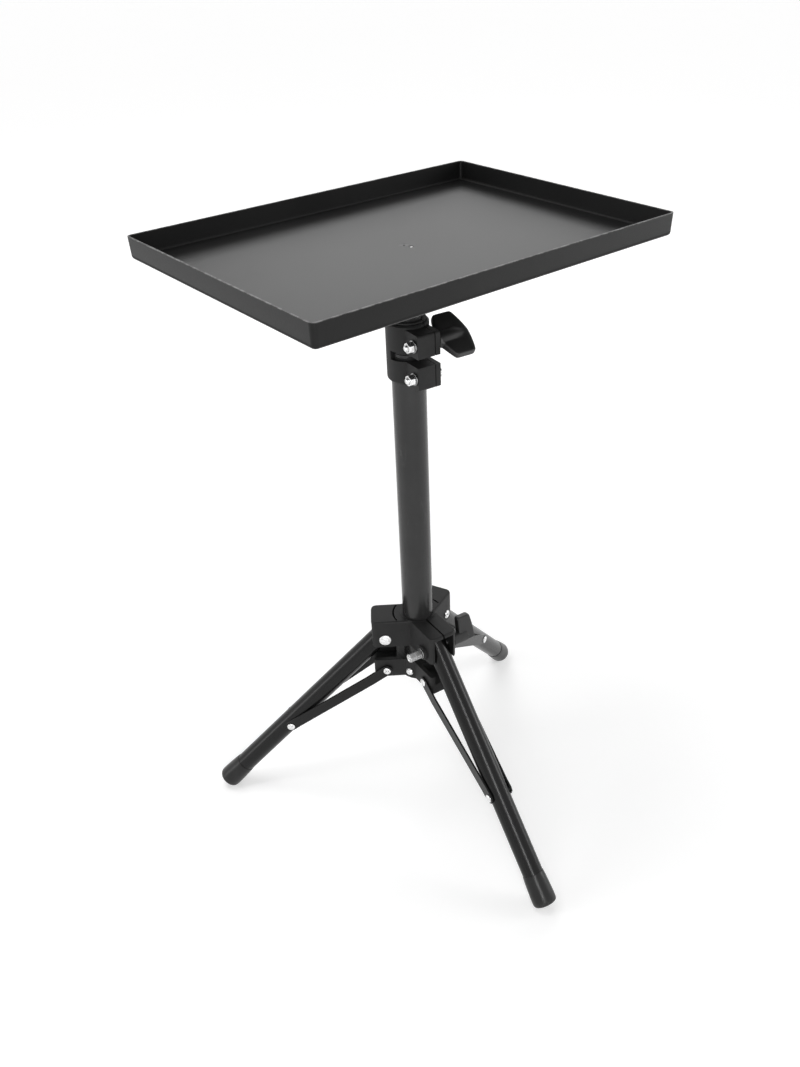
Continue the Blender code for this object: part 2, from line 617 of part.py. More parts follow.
def build_crown_clamp(crown_frame):
    """The bolt that closes the slit, and carries the front leg: long nut, washer, bolt and knob."""
    boss_face = ARM_HALF_WIDTH + CROWN_BOSS + FIT
    washer("crown_washer", crown_frame, PIVOT_REACH, CROWN_PIVOT_Z, -boss_face)
    nut_seat = -boss_face - WASHER_THICKNESS - FIT
    hex_nut("crown_nut", crown_frame, PIVOT_REACH, CROWN_PIVOT_Z, nut_seat, LONG_NUT_HEIGHT)
    place = (PIVOT_REACH, 0, CROWN_PIVOT_Z)
    knob_frame = make_frame("crown_knob_turn", crown_frame, place, (0, LEVER_TURN, 0))
    inner = boss_face + LEVER_HUB
    bolt_end = inner + LEVER_TIP_WIDTH / 2
    bolt_shank("crown_bolt", knob_frame, nut_seat - LONG_NUT_HEIGHT + BOLT_TAIL, bolt_end)
    outline = knob_outline(inner, inner + LEVER_WIDTH, inner + LEVER_TIP_WIDTH, LEVER_CROWN,
                           LEVER_SHORT_END, LEVER_LONG_END)
    build_knob("crown_knob", knob_frame, outline, boss_face, bolt_end)


def build_leg(name, angle, crown_frame):
    """One leg, hung from its pivot in the crown and turned outwards by the spread angle."""
    place = (PIVOT_REACH * math.cos(angle), PIVOT_REACH * math.sin(angle), CROWN_PIVOT_Z)
    hinge = make_frame("leg_hinge_" + name, crown_frame, place, (0, -LEG_SPREAD, angle))
    across = Vector((0, LEG_OD, 0))
    lower = Vector((0, 0, -LEG_TO_BRACE))
    pivot_radius = BOLT_RADIUS if name == "front" else PIVOT_RADIUS
    pivot_hole = add_tool("leg_pivot_hole_" + name, rod(-across, across, pivot_radius + HOLE_FIT), hinge)
    pin_hole = add_tool("leg_pin_hole_" + name,
                        rod(lower - across, lower + across, PIVOT_RADIUS + HOLE_FIT), hinge)
    tube_end = -LEG_LENGTH + FOOT_BASE + FIT
    profile = [(LEG_BORE, LEG_ABOVE_PIVOT), (LEG_RADIUS, LEG_ABOVE_PIVOT), (LEG_RADIUS, tube_end),
               (LEG_BORE, tube_end)]
    combine(turned("leg_tube_" + name, profile, "leg_gloss", hinge, MEDIUM), [pivot_hole, pin_hole])
    cap = LEG_ABOVE_PIVOT + FIT
    plug_end = cap - LEG_PLUG_LENGTH
    spigot = LEG_BORE - FIT
    profile = [(0, cap + LEG_PLUG_CROWN), (spigot - LEG_PLUG_EDGE, cap + LEG_PLUG_CROWN)]
    profile += [(LEG_RADIUS - LEG_WALL, cap + LEG_PLUG_CROWN / 2), (LEG_RADIUS - LEG_WALL / 2, cap)]
    profile += [(spigot, cap), (spigot, plug_end), (0, plug_end)]
    combine(turned("leg_plug_" + name, profile, "moulded_black", hinge, MEDIUM), [pivot_hole])
    pin_reach = Vector((0, LEG_RADIUS - CROSS_PIN_SUNK, 0))
    pin = rod(lower - pin_reach, lower + pin_reach, PIVOT_RADIUS)
    add_part("leg_cross_pin_" + name, pin, "bare_steel", hinge)
    build_foot_cap(name, hinge)


def build_foot_cap(name, hinge):
    """The rubber cap pushed over the foot of a leg."""
    bore = LEG_RADIUS + SLIDE_FIT
    top = -LEG_LENGTH + FOOT_LENGTH
    floor = -LEG_LENGTH + FOOT_BASE
    profile = [(bore, top), (FOOT_RADIUS - FOOT_LIP_EDGE, top), (FOOT_RADIUS, top - FOOT_LIP_EDGE)]
    profile += arc((FOOT_RADIUS - FOOT_EDGE, -LEG_LENGTH + FOOT_EDGE), FOOT_EDGE, 0, -math.pi / 2, 3)
    profile += [(0, -LEG_LENGTH), (0, floor), (bore, floor)]
    turned("foot_cap_" + name, profile, "foot_rubber", hinge, MEDIUM)


def stadium(length, half_width, steps=4):
    """A bar outline with round ends, from its hub pivot at the origin up to its leg pivot."""
    return (arc((0, length), half_width, 0, math.pi, steps)
            + arc((0, 0), half_width, math.pi, 2 * math.pi, steps))


def build_bar(name, hinge, side):
    """A flat brace bar, joggled so that it passes outside the hub arm and lies against the leg."""
    path = [(BAR_HUB_Y, -BAR_WIDTH), (BAR_HUB_Y, BAR_HUB_FLAT)]
    path += [(BAR_LEG_Y, BRACE_LENGTH - BAR_LEG_FLAT), (BAR_LEG_Y, BRACE_LENGTH + BAR_WIDTH)]
    build = bmesh.new()
    rows = []
    for y, z in path:
        rows.append((build.verts.new((-BAR_WIDTH, side * y, z)), build.verts.new((BAR_WIDTH, side * y, z))))
    for low, high in zip(rows, rows[1:]):
        build.faces.new((low[0], low[1], high[1], high[0]))
    bmesh.ops.recalc_face_normals(build, faces=build.faces)
    build.faces.ensure_lookup_table()
    if build.faces[0].normal.y * side < 0:
        bmesh.ops.reverse_faces(build, faces=build.faces)
    bar = add_part(name, mesh_from(build), "leg_gloss", hinge)
    solidify = bar.modifiers.new("thickness", "SOLIDIFY")
    solidify.thickness = BAR_THICKNESS
    solidify.offset = 1
    shape = add_tool(name + "_shape", plate(stadium(BRACE_LENGTH, BAR_WIDTH / 2), 4 * ARM_HALF_WIDTH), hinge)
    combine(bar, [shape], "INTERSECT")
    reach = 2 * ARM_HALF_WIDTH
    holes = []
    for place, z in (("hub", 0), ("leg", BRACE_LENGTH)):
        mesh = rod((0, -reach, z), (0, reach, z), PIVOT_RADIUS + HOLE_FIT)
        holes.append(add_tool("%s_%s_hole" % (name, place), mesh, hinge))
    combine(bar, holes)


def build_bar_rivet(name, hinge, side):
    """The half of the leg rivet that a bar carries: a domed head and a short shank in the bar."""
    inner = BAR_LEG_Y + BAR_RIVET_GAP
    seat = BAR_LEG_Y + BAR_THICKNESS + FIT - inner
    profile = domed_head(RIVET_HEAD_RADIUS, seat) + [(PIVOT_RADIUS, seat), (PIVOT_RADIUS, 0), (0, 0)]
    turned(name, profile, "bare_steel", hinge, SMALL, (0, side, 0), (0, side * inner, BRACE_LENGTH))


def build_braces(name, angle, column_frame):
    """The two bars of one leg, their rivets and the rivet that hinges them on the spider."""
    place = (PIVOT_REACH * math.cos(angle), PIVOT_REACH * math.sin(angle), BRACE_PIVOT_Z)
    hinge = make_frame("brace_hinge_" + name, column_frame, place, (0, BRACE_ANGLE, angle))
    for label, side in (("a", 1), ("b", -1)):
        build_bar("brace_bar_%s_%s" % (name, label), hinge, side)
        build_bar_rivet("brace_rivet_%s_%s" % (name, label), hinge, side)
    arm = make_frame("spider_arm_frame_" + name, column_frame, (0, 0, 0), (0, 0, angle))
    grip = 2 * (BAR_HUB_Y + BAR_THICKNESS + FIT)
    across_rivet("spider_pivot_rivet_" + name, arm, PIVOT_REACH, BRACE_PIVOT_Z, grip, RIVET_HEAD_RADIUS,
                 RIVET_HEAD_RADIUS, -1)


def build_collar(column_frame):
    """The clamp that grips the column below and the post above, with a lug for each bolt."""
    bore_radius = COLUMN_RADIUS + FIT
    profile = [(bore_radius, COLLAR_TOP_Z), (COLLAR_RADIUS - COLLAR_TOP_EDGE, COLLAR_TOP_Z)]
    profile += [(COLLAR_RADIUS, COLLAR_TOP_Z - COLLAR_TOP_EDGE)]
    profile += arc((COLLAR_RADIUS - COLLAR_FOOT_EDGE, COLLAR_BASE_Z + COLLAR_FOOT_EDGE), COLLAR_FOOT_EDGE,
                   0, -math.pi / 2, 3)
    collar = turned("collar_clamp", profile, "moulded_black", column_frame)
    lug = block((0, -LUG_HALF_WIDTH, COLLAR_BASE_Z + LUG_STEP), (LUG_REACH, LUG_HALF_WIDTH, UPPER_LUG_TOP_Z),
                LUG_CORNER, 1)
    wedge = [(0, 0)] + arc((0, 0), 3 * COLLAR_RADIUS, -COLLAR_SLOT_HALF_ANGLE, COLLAR_SLOT_HALF_ANGLE, 12)
    slot = plate(wedge, COLLAR_SLOT)
    slot.transform(Matrix.Rotation(math.radians(-90), 4, "X"))
    slot.transform(Matrix.Translation((0, 0, LOWER_LUG_TOP_Z + COLLAR_SLOT / 2)))
    low = COLLAR_BASE_Z - CUT
    high = COLLAR_TOP_Z + CUT
    bore = rod((0, 0, low), (0, 0, high), bore_radius, FINE)
    cuts = [add_tool("collar_slot", slot, column_frame), add_tool("collar_bore", bore, column_frame)]
    cuts.append(add_tool("collar_split", split_cutter(low, high), column_frame))
    for label, z in (("lower", LOWER_BOLT_Z), ("upper", UPPER_BOLT_Z)):
        mesh = rod((COLLAR_BOLT_REACH, -LUG_REACH, z), (COLLAR_BOLT_REACH, LUG_REACH, z),
                   BOLT_RADIUS + HOLE_FIT)
        cuts.append(add_tool("collar_%s_hole" % label, mesh, column_frame))
    combine(collar, [add_tool("collar_lug", lug, column_frame)], "UNION")
    combine(collar, cuts)


def split_cutter(low, high):
    """The narrow upright cut that lets the collar and its sleeve close."""
    side = COLLAR_SPLIT_OFFSET - COLLAR_SPLIT / 2
    return block((0, side, low), (2 * LUG_REACH, side + COLLAR_SPLIT, high))


def build_collar_fasteners(column_frame):
    """The fixed bolt below, and above it the clamp bolt with its wing knob."""
    lug_face = LUG_HALF_WIDTH + FIT
    nut_seat = -lug_face - WASHER_THICKNESS - FIT
    tail = nut_seat - NUT_HEIGHT - BOLT_TAIL
    for label, z in (("lower", LOWER_BOLT_Z), ("upper", UPPER_BOLT_Z)):
        washer("collar_washer_" + label, column_frame, COLLAR_BOLT_REACH, z, -lug_face)
        hex_nut("collar_nut_" + label, column_frame, COLLAR_BOLT_REACH, z, nut_seat, NUT_HEIGHT)
    seat = lug_face - tail
    top = seat + BOLT_HEAD
    profile = [(0, top - BOLT_SOCKET), (BOLT_SOCKET, top - BOLT_SOCKET), (BOLT_SOCKET, top)]
    profile += [(BOLT_HEAD_RADIUS - BOLT_CHAMFER, top), (BOLT_HEAD_RADIUS, top - BOLT_CHAMFER)]
    profile += [(BOLT_HEAD_RADIUS, seat), (BOLT_RADIUS, seat), (BOLT_RADIUS, BOLT_CHAMFER)]
    profile += [(BOLT_RADIUS - BOLT_CHAMFER, 0), (0, 0)]
    turned("collar_bolt", profile, "bare_steel", column_frame, SMALL, (0, 1, 0),
           (COLLAR_BOLT_REACH, tail, LOWER_BOLT_Z))
    place = (COLLAR_BOLT_REACH, 0, UPPER_BOLT_Z)
    knob_frame = make_frame("clamp_knob_turn", column_frame, place, (0, WING_TURN, 0))
    inner = lug_face + WING_HUB
    bolt_end = inner + WING_WIDTH / 2
    bolt_shank("clamp_bolt", knob_frame, tail, bolt_end)
    outline = knob_outline(inner, inner + WING_WIDTH, inner + WING_WIDTH, WING_CROWN, WING_INNER_END,
                           WING_OUTER_END)
    build_knob("clamp_knob", knob_frame, outline, lug_face, bolt_end)


def build_clamp_sleeve(column_frame):
    """The split plastic sleeve that fills the collar above the column and guides the post."""
    low = COLUMN_TOP_Z + FIT
    seat = COLLAR_TOP_Z + FIT
    high = COLLAR_TOP_Z + SLEEVE_LIP_HEIGHT
    inner = POST_RADIUS + SLIDE_FIT
    lip = COLUMN_RADIUS + SLEEVE_LIP
    profile = [(inner, high), (lip, high), (lip, seat), (COLUMN_RADIUS, seat), (COLUMN_RADIUS, low)]
    profile += [(inner, low)]
    sleeve = turned("clamp_sleeve", profile, "moulded_black", column_frame)
    combine(sleeve, [add_tool("clamp_sleeve_split", split_cutter(low - CUT, high + CUT), column_frame)])


def build_post(post_frame, head_frame):
    """The sliding guide at the foot of the post, and the post."""
    outer = COLUMN_BORE - SLIDE_FIT
    spigot = POST_BORE - SLIDE_FIT
    top = POST_BOTTOM_Z - FIT
    low = top - GUIDE_LIP
    spigot_top = low + GUIDE_LENGTH
    profile = [(GUIDE_BORE, spigot_top), (spigot - GUIDE_LEAD, spigot_top), (spigot, spigot_top - GUIDE_LEAD)]
    profile += [(spigot, top), (outer, top), (outer, low), (GUIDE_BORE, low)]
    turned("post_guide", profile, "moulded_black", post_frame, MEDIUM)
    profile = [(POST_BORE, POST_TOP_Z), (POST_RADIUS, POST_TOP_Z), (POST_RADIUS, POST_BOTTOM_Z),
               (POST_BORE, POST_BOTTOM_Z)]
    turned("inner_post", profile, "column_satin", head_frame)


def build_head(head_frame):
    """The moulded head between post and tray, and the key pin that stops the tray turning on it."""
    socket_top = POST_TOP_Z + FIT
    socket_bore = POST_RADIUS + SLIDE_FIT
    flange_low = HEAD_TOP_Z - HEAD_FLANGE
    fillet_x = HEAD_SOCKET_RADIUS + HEAD_FILLET
    profile = [(0, HEAD_TOP_Z), (HEAD_FLANGE_RADIUS - HEAD_FLANGE_EDGE, HEAD_TOP_Z)]
    profile += [(HEAD_FLANGE_RADIUS, HEAD_TOP_Z - HEAD_FLANGE_EDGE), (HEAD_FLANGE_RADIUS, flange_low)]
    profile += arc((fillet_x, flange_low - HEAD_FILLET), HEAD_FILLET, math.pi / 2, math.pi, 2)
    profile += [(HEAD_SOCKET_RADIUS, HEAD_BOTTOM_Z + HEAD_SOCKET_EDGE)]
    profile += [(HEAD_SOCKET_RADIUS - HEAD_SOCKET_EDGE, HEAD_BOTTOM_Z), (socket_bore, HEAD_BOTTOM_Z)]
    profile += [(socket_bore, socket_top), (0, socket_top)]
    head = turned("post_head", profile, "moulded_black", head_frame)
    tip = HEAD_TOP_Z - TRAY_SCREW_LENGTH - TRAY_SCREW_TIP_GAP
    screw_hole = rod((0, 0, tip), (0, 0, HEAD_TOP_Z + CUT), TRAY_SCREW_RADIUS + HOLE_FIT)
    pin_low = HEAD_TOP_Z - KEY_PIN_DEPTH
    key_hole = rod((KEY_PIN_X, KEY_PIN_Y, pin_low - FIT), (KEY_PIN_X, KEY_PIN_Y, HEAD_TOP_Z + CUT),
                   KEY_PIN_RADIUS + HOLE_FIT)
    combine(head, [add_tool("head_screw_hole", screw_hole, head_frame),
                   add_tool("head_key_hole", key_hole, head_frame)])
    pin_top = TRAY_FLOOR_Z - KEY_PIN_SUNK
    pin = rod((KEY_PIN_X, KEY_PIN_Y, pin_low), (KEY_PIN_X, KEY_PIN_Y, pin_top), KEY_PIN_RADIUS)
    add_part("key_pin", pin, "bare_steel", head_frame)


def build_tray(head_frame):
    """The folded sheet tray: one skin with round corners, thickened inwards."""
    build = bmesh.new()
    bmesh.ops.create_cube(build, size=1.0)
    bmesh.ops.scale(build, vec=(TRAY_LENGTH, TRAY_WIDTH, TRAY_DEPTH), verts=build.verts)
    bmesh.ops.translate(build, vec=(0, 0, TRAY_RIM_Z - TRAY_DEPTH / 2), verts=build.verts)
    for vert in build.verts:
        if vert.co.z < TRAY_RIM_Z - TRAY_DEPTH / 2:
            vert.co.x -= math.copysign(TRAY_DRAFT, vert.co.x)
            vert.co.y -= math.copysign(TRAY_DRAFT, vert.co.y)
    lid = [face for face in build.faces if face.normal.z > 0.9]
    bmesh.ops.delete(build, geom=lid, context="FACES")
    bmesh.ops.bevel(build, geom=box_edges_along(build, 2), offset=TRAY_CORNER, segments=4, profile=0.5,
                    affect="EDGES")
    folds = []
    for edge in build.edges:
        low = all(vert.co.z < TRAY_UNDERSIDE_Z + FIT for vert in edge.verts)
        if low and any(face.normal.z > -0.5 for face in edge.link_faces):
            folds.append(edge)
    bmesh.ops.bevel(build, geom=folds, offset=TRAY_FOLD, segments=3, profile=0.5, affect="EDGES")
    tray = add_part("tray", mesh_from(build), "black_enamel", head_frame)
    solidify = tray.modifiers.new("sheet", "SOLIDIFY")
    solidify.thickness = TRAY_SHEET
    solidify.offset = -1
    low = TRAY_UNDERSIDE_Z - CUT
    high = TRAY_FLOOR_Z + CUT
    cone_low = TRAY_FLOOR_Z - TRAY_SCREW_SUNK - TRAY_SCREW_HEAD
    cone_rise = TRAY_SCREW_SUNK + TRAY_SCREW_HEAD + TRAY_SHEET
    slope = (TRAY_SCREW_HEAD_RADIUS - TRAY_SCREW_RADIUS) / TRAY_SCREW_HEAD
    hole_radius = TRAY_SCREW_RADIUS + HOLE_FIT
    screw_hole = rod((0, 0, low), (0, 0, high), hole_radius, COARSE)
    screw_cone = rod((0, 0, cone_low), (0, 0, cone_low + cone_rise), hole_radius, COARSE,
                     hole_radius + slope * cone_rise)
    key_hole = rod((KEY_PIN_X, KEY_PIN_Y, low), (KEY_PIN_X, KEY_PIN_Y, high), KEY_PIN_RADIUS + HOLE_FIT)
    combine(tray, [add_tool("tray_screw_cone", screw_cone, head_frame),
                   add_tool("tray_screw_hole", screw_hole, head_frame),
                   add_tool("tray_key_hole", key_hole, head_frame)])


def build_tray_screw(head_frame):
    """The countersunk screw through the tray floor into the head. It lies just below the floor."""
    top = TRAY_FLOOR_Z - TRAY_SCREW_SUNK
    tip = HEAD_TOP_Z - TRAY_SCREW_LENGTH
    recess = TRAY_SCREW_RECESS
    profile = [(0, top - recess), (recess, top - recess), (recess, top), (TRAY_SCREW_HEAD_RADIUS, top)]
    profile += [(TRAY_SCREW_RADIUS, top - TRAY_SCREW_HEAD), (TRAY_SCREW_RADIUS, tip), (0, tip)]
    turned("tray_screw", profile, "knob_black", head_frame, COARSE)


def build_stand():
    column_frame = make_frame("column_frame", rotation=(0, 0, FRONT_LEG_ANGLE))
    crown_frame = make_frame("crown_slide", column_frame, (0, 0, CROWN_BASE_Z))
    post_frame = make_frame("post_slide")
    head_frame = make_frame("tray_swivel", post_frame)
    holes = rivet_hole_tools(column_frame)
    build_column(column_frame, holes)
    build_spider(column_frame, holes)
    build_spider_rivets(column_frame)
    build_collar(column_frame)
    build_collar_fasteners(column_frame)
    build_clamp_sleeve(column_frame)
    build_post(post_frame, head_frame)
    build_head(head_frame)
    build_tray(head_frame)
    build_tray_screw(head_frame)
    build_crown(crown_frame)
    build_crown_clamp(crown_frame)
    for name, angle in zip(LEG_NAMES, LEG_TURNS):
        build_leg(name, angle, crown_frame)
        build_braces(name, angle, column_frame)
        if name != "front":
            arm = make_frame("crown_arm_frame_" + name, crown_frame, (0, 0, 0), (0, 0, angle))
            across_rivet("leg_rivet_" + name, arm, PIVOT_REACH, CROWN_PIVOT_Z, 2 * (ARM_HALF_WIDTH + FIT),
                         CROWN_RIVET_HEAD_RADIUS, CROWN_RIVET_TAIL_RADIUS)


clear_scene()
PARTS = make_collection("laptop_tripod_stand")
TOOLS = make_collection("cutters")
build_stand()
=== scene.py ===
"""Looks of the folding tripod laptop stand: finished surfaces, finishes, studio and camera.

Lengths are metres, written in millimetres times MM. The origin is on the column's axis, at the
underside of its foot plug. +Z is up and +X runs along the long side of the tray.
"""
import json
import math

import bmesh
import bpy
import numpy as np
from mathutils import Matrix, Vector


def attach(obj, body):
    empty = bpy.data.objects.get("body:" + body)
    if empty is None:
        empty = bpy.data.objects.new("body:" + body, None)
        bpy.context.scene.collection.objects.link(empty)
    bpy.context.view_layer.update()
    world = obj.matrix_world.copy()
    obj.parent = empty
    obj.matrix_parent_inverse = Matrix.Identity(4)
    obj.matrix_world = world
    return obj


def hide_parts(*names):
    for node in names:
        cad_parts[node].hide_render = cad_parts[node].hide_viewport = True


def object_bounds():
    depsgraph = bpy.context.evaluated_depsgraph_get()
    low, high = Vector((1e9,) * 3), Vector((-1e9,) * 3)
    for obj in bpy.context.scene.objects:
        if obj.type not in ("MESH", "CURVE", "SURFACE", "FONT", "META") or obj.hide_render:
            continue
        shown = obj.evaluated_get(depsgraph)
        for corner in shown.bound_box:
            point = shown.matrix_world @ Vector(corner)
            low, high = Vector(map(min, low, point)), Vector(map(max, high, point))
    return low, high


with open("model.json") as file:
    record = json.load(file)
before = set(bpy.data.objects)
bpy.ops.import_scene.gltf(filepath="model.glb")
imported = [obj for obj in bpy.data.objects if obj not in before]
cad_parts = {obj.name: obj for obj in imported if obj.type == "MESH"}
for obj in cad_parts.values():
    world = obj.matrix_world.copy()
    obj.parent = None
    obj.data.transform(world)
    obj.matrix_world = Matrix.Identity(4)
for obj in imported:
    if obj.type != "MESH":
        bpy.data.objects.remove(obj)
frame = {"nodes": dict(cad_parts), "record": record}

CAD_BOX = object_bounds()

MM = 0.001
TURN = 2 * math.pi
LEG_NAMES = ("front", "back", "left")

# Column and post
COLUMN_TURN = math.radians(263.4)
COLUMN_RADIUS = 16.3 * MM
COLUMN_BORE = 14.8 * MM
COLUMN_LOW = 3.3 * MM
COLUMN_TOP = 381.0 * MM
FOOT_PLUG_FLANGE = 3.0 * MM
FOOT_PLUG_TOP = 20.0 * MM
SPIGOT_GAP = 0.3 * MM
POST_RADIUS = 14.0 * MM
POST_BORE = 12.7 * MM
POST_LOW = 61.0 * MM
POST_TOP = 457.2 * MM

# Head and tray
HEAD_TOP = 475.2 * MM
HEAD_FLANGE_LOW = 471.2 * MM
HEAD_FLANGE_RADIUS = 34.0 * MM
HEAD_SOCKET_LOW = 435.2 * MM
HEAD_SOCKET_RADIUS = 18.5 * MM
HEAD_BORE = 14.25 * MM
HEAD_BORE_TOP = 457.5 * MM
TRAY_RIM = 495.5 * MM
TRAY_FLOOR = 477.0 * MM
TRAY_SCREW_RADIUS = 1.65 * MM
TRAY_SCREW_LOW = 461.2 * MM
TRAY_SCREW_HEAD = 1.3 * MM
TRAY_SCREW_HEAD_RADIUS = 4.2 * MM
TRAY_SCREW_SUNK = 0.1 * MM
TRAY_SCREW_KEY = 1.0 * MM
TRAY_SCREW_KEY_DEPTH = 1.0 * MM
KEY_PIN_REACH = 7.8 * MM
KEY_PIN_TURN = math.radians(-75)
KEY_PIN_RADIUS = 1.6 * MM
KEY_PIN_LOW = 466.2 * MM
KEY_PIN_TOP = 476.6 * MM

# Legs, braces and the pivots on their hubs
PIVOT_REACH = 36.5 * MM
LEG_PIVOT_Z = 53.2 * MM
LEG_SPREAD = math.radians(43.0)
LEG_LENGTH = 290.0 * MM
LEG_RADIUS = 11.1 * MM
LEG_BORE = 9.9 * MM
LEG_TOP = 7.0 * MM
LEG_TUBE_SHORT = 5.3 * MM
LEG_PLUG_RADIUS = 10.5 * MM
LEG_PLUG_SEAT = 7.3 * MM
LEG_PLUG_TOP = 8.9 * MM
LEG_PLUG_LOW = -22.7 * MM
FOOT_RADIUS = 12.9 * MM
FOOT_FLOOR = 5.0 * MM
FOOT_LENGTH = 34.0 * MM
FOOT_HUG = 0.03 * MM
TREAD_RADII = (8.6 * MM, 5.6 * MM, 2.6 * MM)
TREAD_DEPTH = 0.5 * MM
BRACE_PIVOT_Z = 11.6 * MM
LEG_TO_BRACE = 167.0 * MM
BRACE_OUT = LEG_TO_BRACE * math.sin(LEG_SPREAD)
BRACE_UP = LEG_PIVOT_Z - BRACE_PIVOT_Z - LEG_TO_BRACE * math.cos(LEG_SPREAD)
BRACE_LENGTH = math.hypot(BRACE_OUT, BRACE_UP)
BRACE_ANGLE = math.atan2(BRACE_OUT, BRACE_UP)
BRACE_RIVET_START = 11.45 * MM
BRACE_RIVET_SHANK = 2.25 * MM

# Rivets
PIN_RADIUS = 2.5 * MM
RIVET_HEAD = 1.6 * MM
RIVET_HEAD_RADIUS = 4.4 * MM
RIVET_BORE = 1.5 * MM
DOME_EDGE = 0.25 * MM
LEG_RIVET_GRIP = 33.6 * MM
LEG_RIVET_HEAD_RADIUS = 6.6 * MM
LEG_RIVET_TAIL_RADIUS = 5.0 * MM
BRACE_RIVET_GRIP = 2 * (16.8 + 2.0 + 0.3) * MM
HUB_RIVET_START = 9.8 * MM
HUB_RIVET_SHANK = 14.0 * MM
HUB_RIVET_Z = 10.0 * MM

# Bolts, nuts and washers, from the middle of the clamp that they close
BOLT_RADIUS = 3.0 * MM
BOLT_CHAMFER = 0.8 * MM
THREAD_PITCH = 1.0 * MM
THREAD_DEPTH = 0.5 * MM
THREAD_LENGTH = 14.0 * MM
WASHER_BORE = 3.3 * MM
WASHER_RADIUS = 5.9 * MM
WASHER_THICKNESS = 1.3 * MM
NUT_SEAT = 1.6 * MM
COLLAR_FACE = 12.3 * MM
COLLAR_BOLT_REACH = 29.6 * MM
COLLAR_BOLT_Z = {"lower": 364.75 * MM, "upper": 396.0 * MM}
COLLAR_NUT_FLATS = 4.6 * MM
COLLAR_NUT_HEIGHT = 5.5 * MM
COLLAR_BOLT_PAST_NUT = 2.0 * MM
COLLAR_KNOB_GRIP = 18.0 * MM
CAP_HEAD = 3.2 * MM
CAP_HEAD_RADIUS = 5.0 * MM
CAP_HEAD_KEY = 1.8 * MM
CAP_HEAD_KEY_DEPTH = 1.6 * MM
CROWN_FACE = 19.8 * MM
CROWN_NUT_FLATS = 4.3 * MM
CROWN_NUT_HEIGHT = 14.0 * MM
CROWN_BOLT_IN_NUT = 2.0 * MM
CROWN_KNOB_GRIP = 15.2 * MM

# The collar's wing knob
KNOB_LOW = -25.5 * MM
KNOB_HIGH = 22.5 * MM
KNOB_HUB_RADIUS = 7.3 * MM
KNOB_ROOT_RISE = 7.0 * MM
KNOB_OFF_FACE = 8.6 * MM
KNOB_WIDTH = 20.4 * MM
KNOB_CROWN = 4.6 * MM
KNOB_HALF_THICKNESS = 4.5 * MM
KNOB_TIP_THINNING = 1.1 * MM
KNOB_TURN = TURN / 12

# How finely round pieces are divided
HEAD_FACETS = 128
ROUND_FACETS = 96
RIVET_FACETS = 64
BOLT_FACETS = 48
KNOB_SECTIONS = 121

BODY_OF = {node: body for body, nodes in frame["record"]["behaviour"]["bodies"].items()
           for node in nodes}


# Places

def shift(x, y, z):
    """A move, as a 4 by 4 matrix."""
    return np.array(Matrix.Translation((x, y, z)))


def turn(angle, axis):
    """A turn about an axis, as a 4 by 4 matrix."""
    return np.array(Matrix.Rotation(angle, 4, axis))


UPRIGHT = np.eye(4)
ALONG_X = turn(TURN / 4, "Y")
ALONG_Y = turn(-TURN / 4, "X")
AGAINST_Y = turn(TURN / 4, "X")
COLUMN_PLACE = turn(COLUMN_TURN, "Z")
LEG_TURNS = {name: COLUMN_TURN + index * TURN / 3 for index, name in enumerate(LEG_NAMES)}


def arm_place(name, z):
    """The pivot on a hub arm: x points out along the leg's plane and y across it."""
    return turn(LEG_TURNS[name], "Z") @ shift(PIVOT_REACH, 0, z)


def leg_place(name):
    """The leg's own frame: z runs up the leg, and the pivot is the origin."""
    return arm_place(name, LEG_PIVOT_Z) @ turn(-LEG_SPREAD, "Y")


def brace_place(name):
    """The brace's own frame: z runs from its hub pivot out to its leg pivot."""
    return arm_place(name, BRACE_PIVOT_Z) @ turn(BRACE_ANGLE, "Y")


# Profiles and rows

def rounded(corners, steps=5):
    """A profile through (radius, height, rounding) corners.

    Each corner P becomes the curve (1-t)^2 A + 2t(1-t) P + t^2 B, where A and B lie the rounding's
    length from P towards the corners before and after it.
    """
    corners = np.array(corners, float)
    point, size = corners[:, :2], corners[:, 2:]
    before, after = np.roll(point, 1, 0) - point, np.roll(point, -1, 0) - point
    before = before / np.maximum(np.linalg.norm(before, axis=1, keepdims=True), 1e-9)
    after = after / np.maximum(np.linalg.norm(after, axis=1, keepdims=True), 1e-9)
    share = np.linspace(0, 1, steps)[None, :, None]
    start, end = (point + before * size)[:, None], (point + after * size)[:, None]
    curve = (1 - share) ** 2 * start + 2 * share * (1 - share) * point[:, None] + share ** 2 * end
    curve = curve.reshape(-1, 2)
    apart = np.linalg.norm(curve - np.roll(curve, 1, 0), axis=1) > 1e-7
    return curve[apart]


def dome(radius, seat, steps=9):
    """A rivet's domed head: radius sin a, and seat plus an edge plus rise cos a, for a up to a right angle.

    The rise is the head's height less its edge, and the last point is the edge's foot on the seat.
    """
    angle = np.linspace(0, TURN / 4, steps)
    rise = RIVET_HEAD - DOME_EDGE
    curve = np.stack((radius * np.sin(angle), seat + DOME_EDGE + rise * np.cos(angle)), 1)
    return np.concatenate((curve, [(radius, seat)]))


def step(value, low, high):
    """A smooth step: 3 t^2 - 2 t^3, where t is the way from low to high, kept within 0 and 1."""
    share = np.clip((value - low) / (high - low), 0, 1)
    return share ** 2 * (3 - 2 * share)


def angles(facets):
    """One row of angles, evenly spaced round the axis."""
    return (np.arange(facets) * TURN / facets)[None, :]


def rings(values, facets):
    """A row for each value, the same all round the axis."""
    return np.array(values, float)[:, None] * np.ones((1, facets))


def hexagon(flats, angle):
    """The distance to a hexagon's side: that of its flats over the cosine of the angle from a flat."""
    from_flat = (angle + TURN / 12) % (TURN / 6) - TURN / 12
    return flats / np.cos(from_flat)


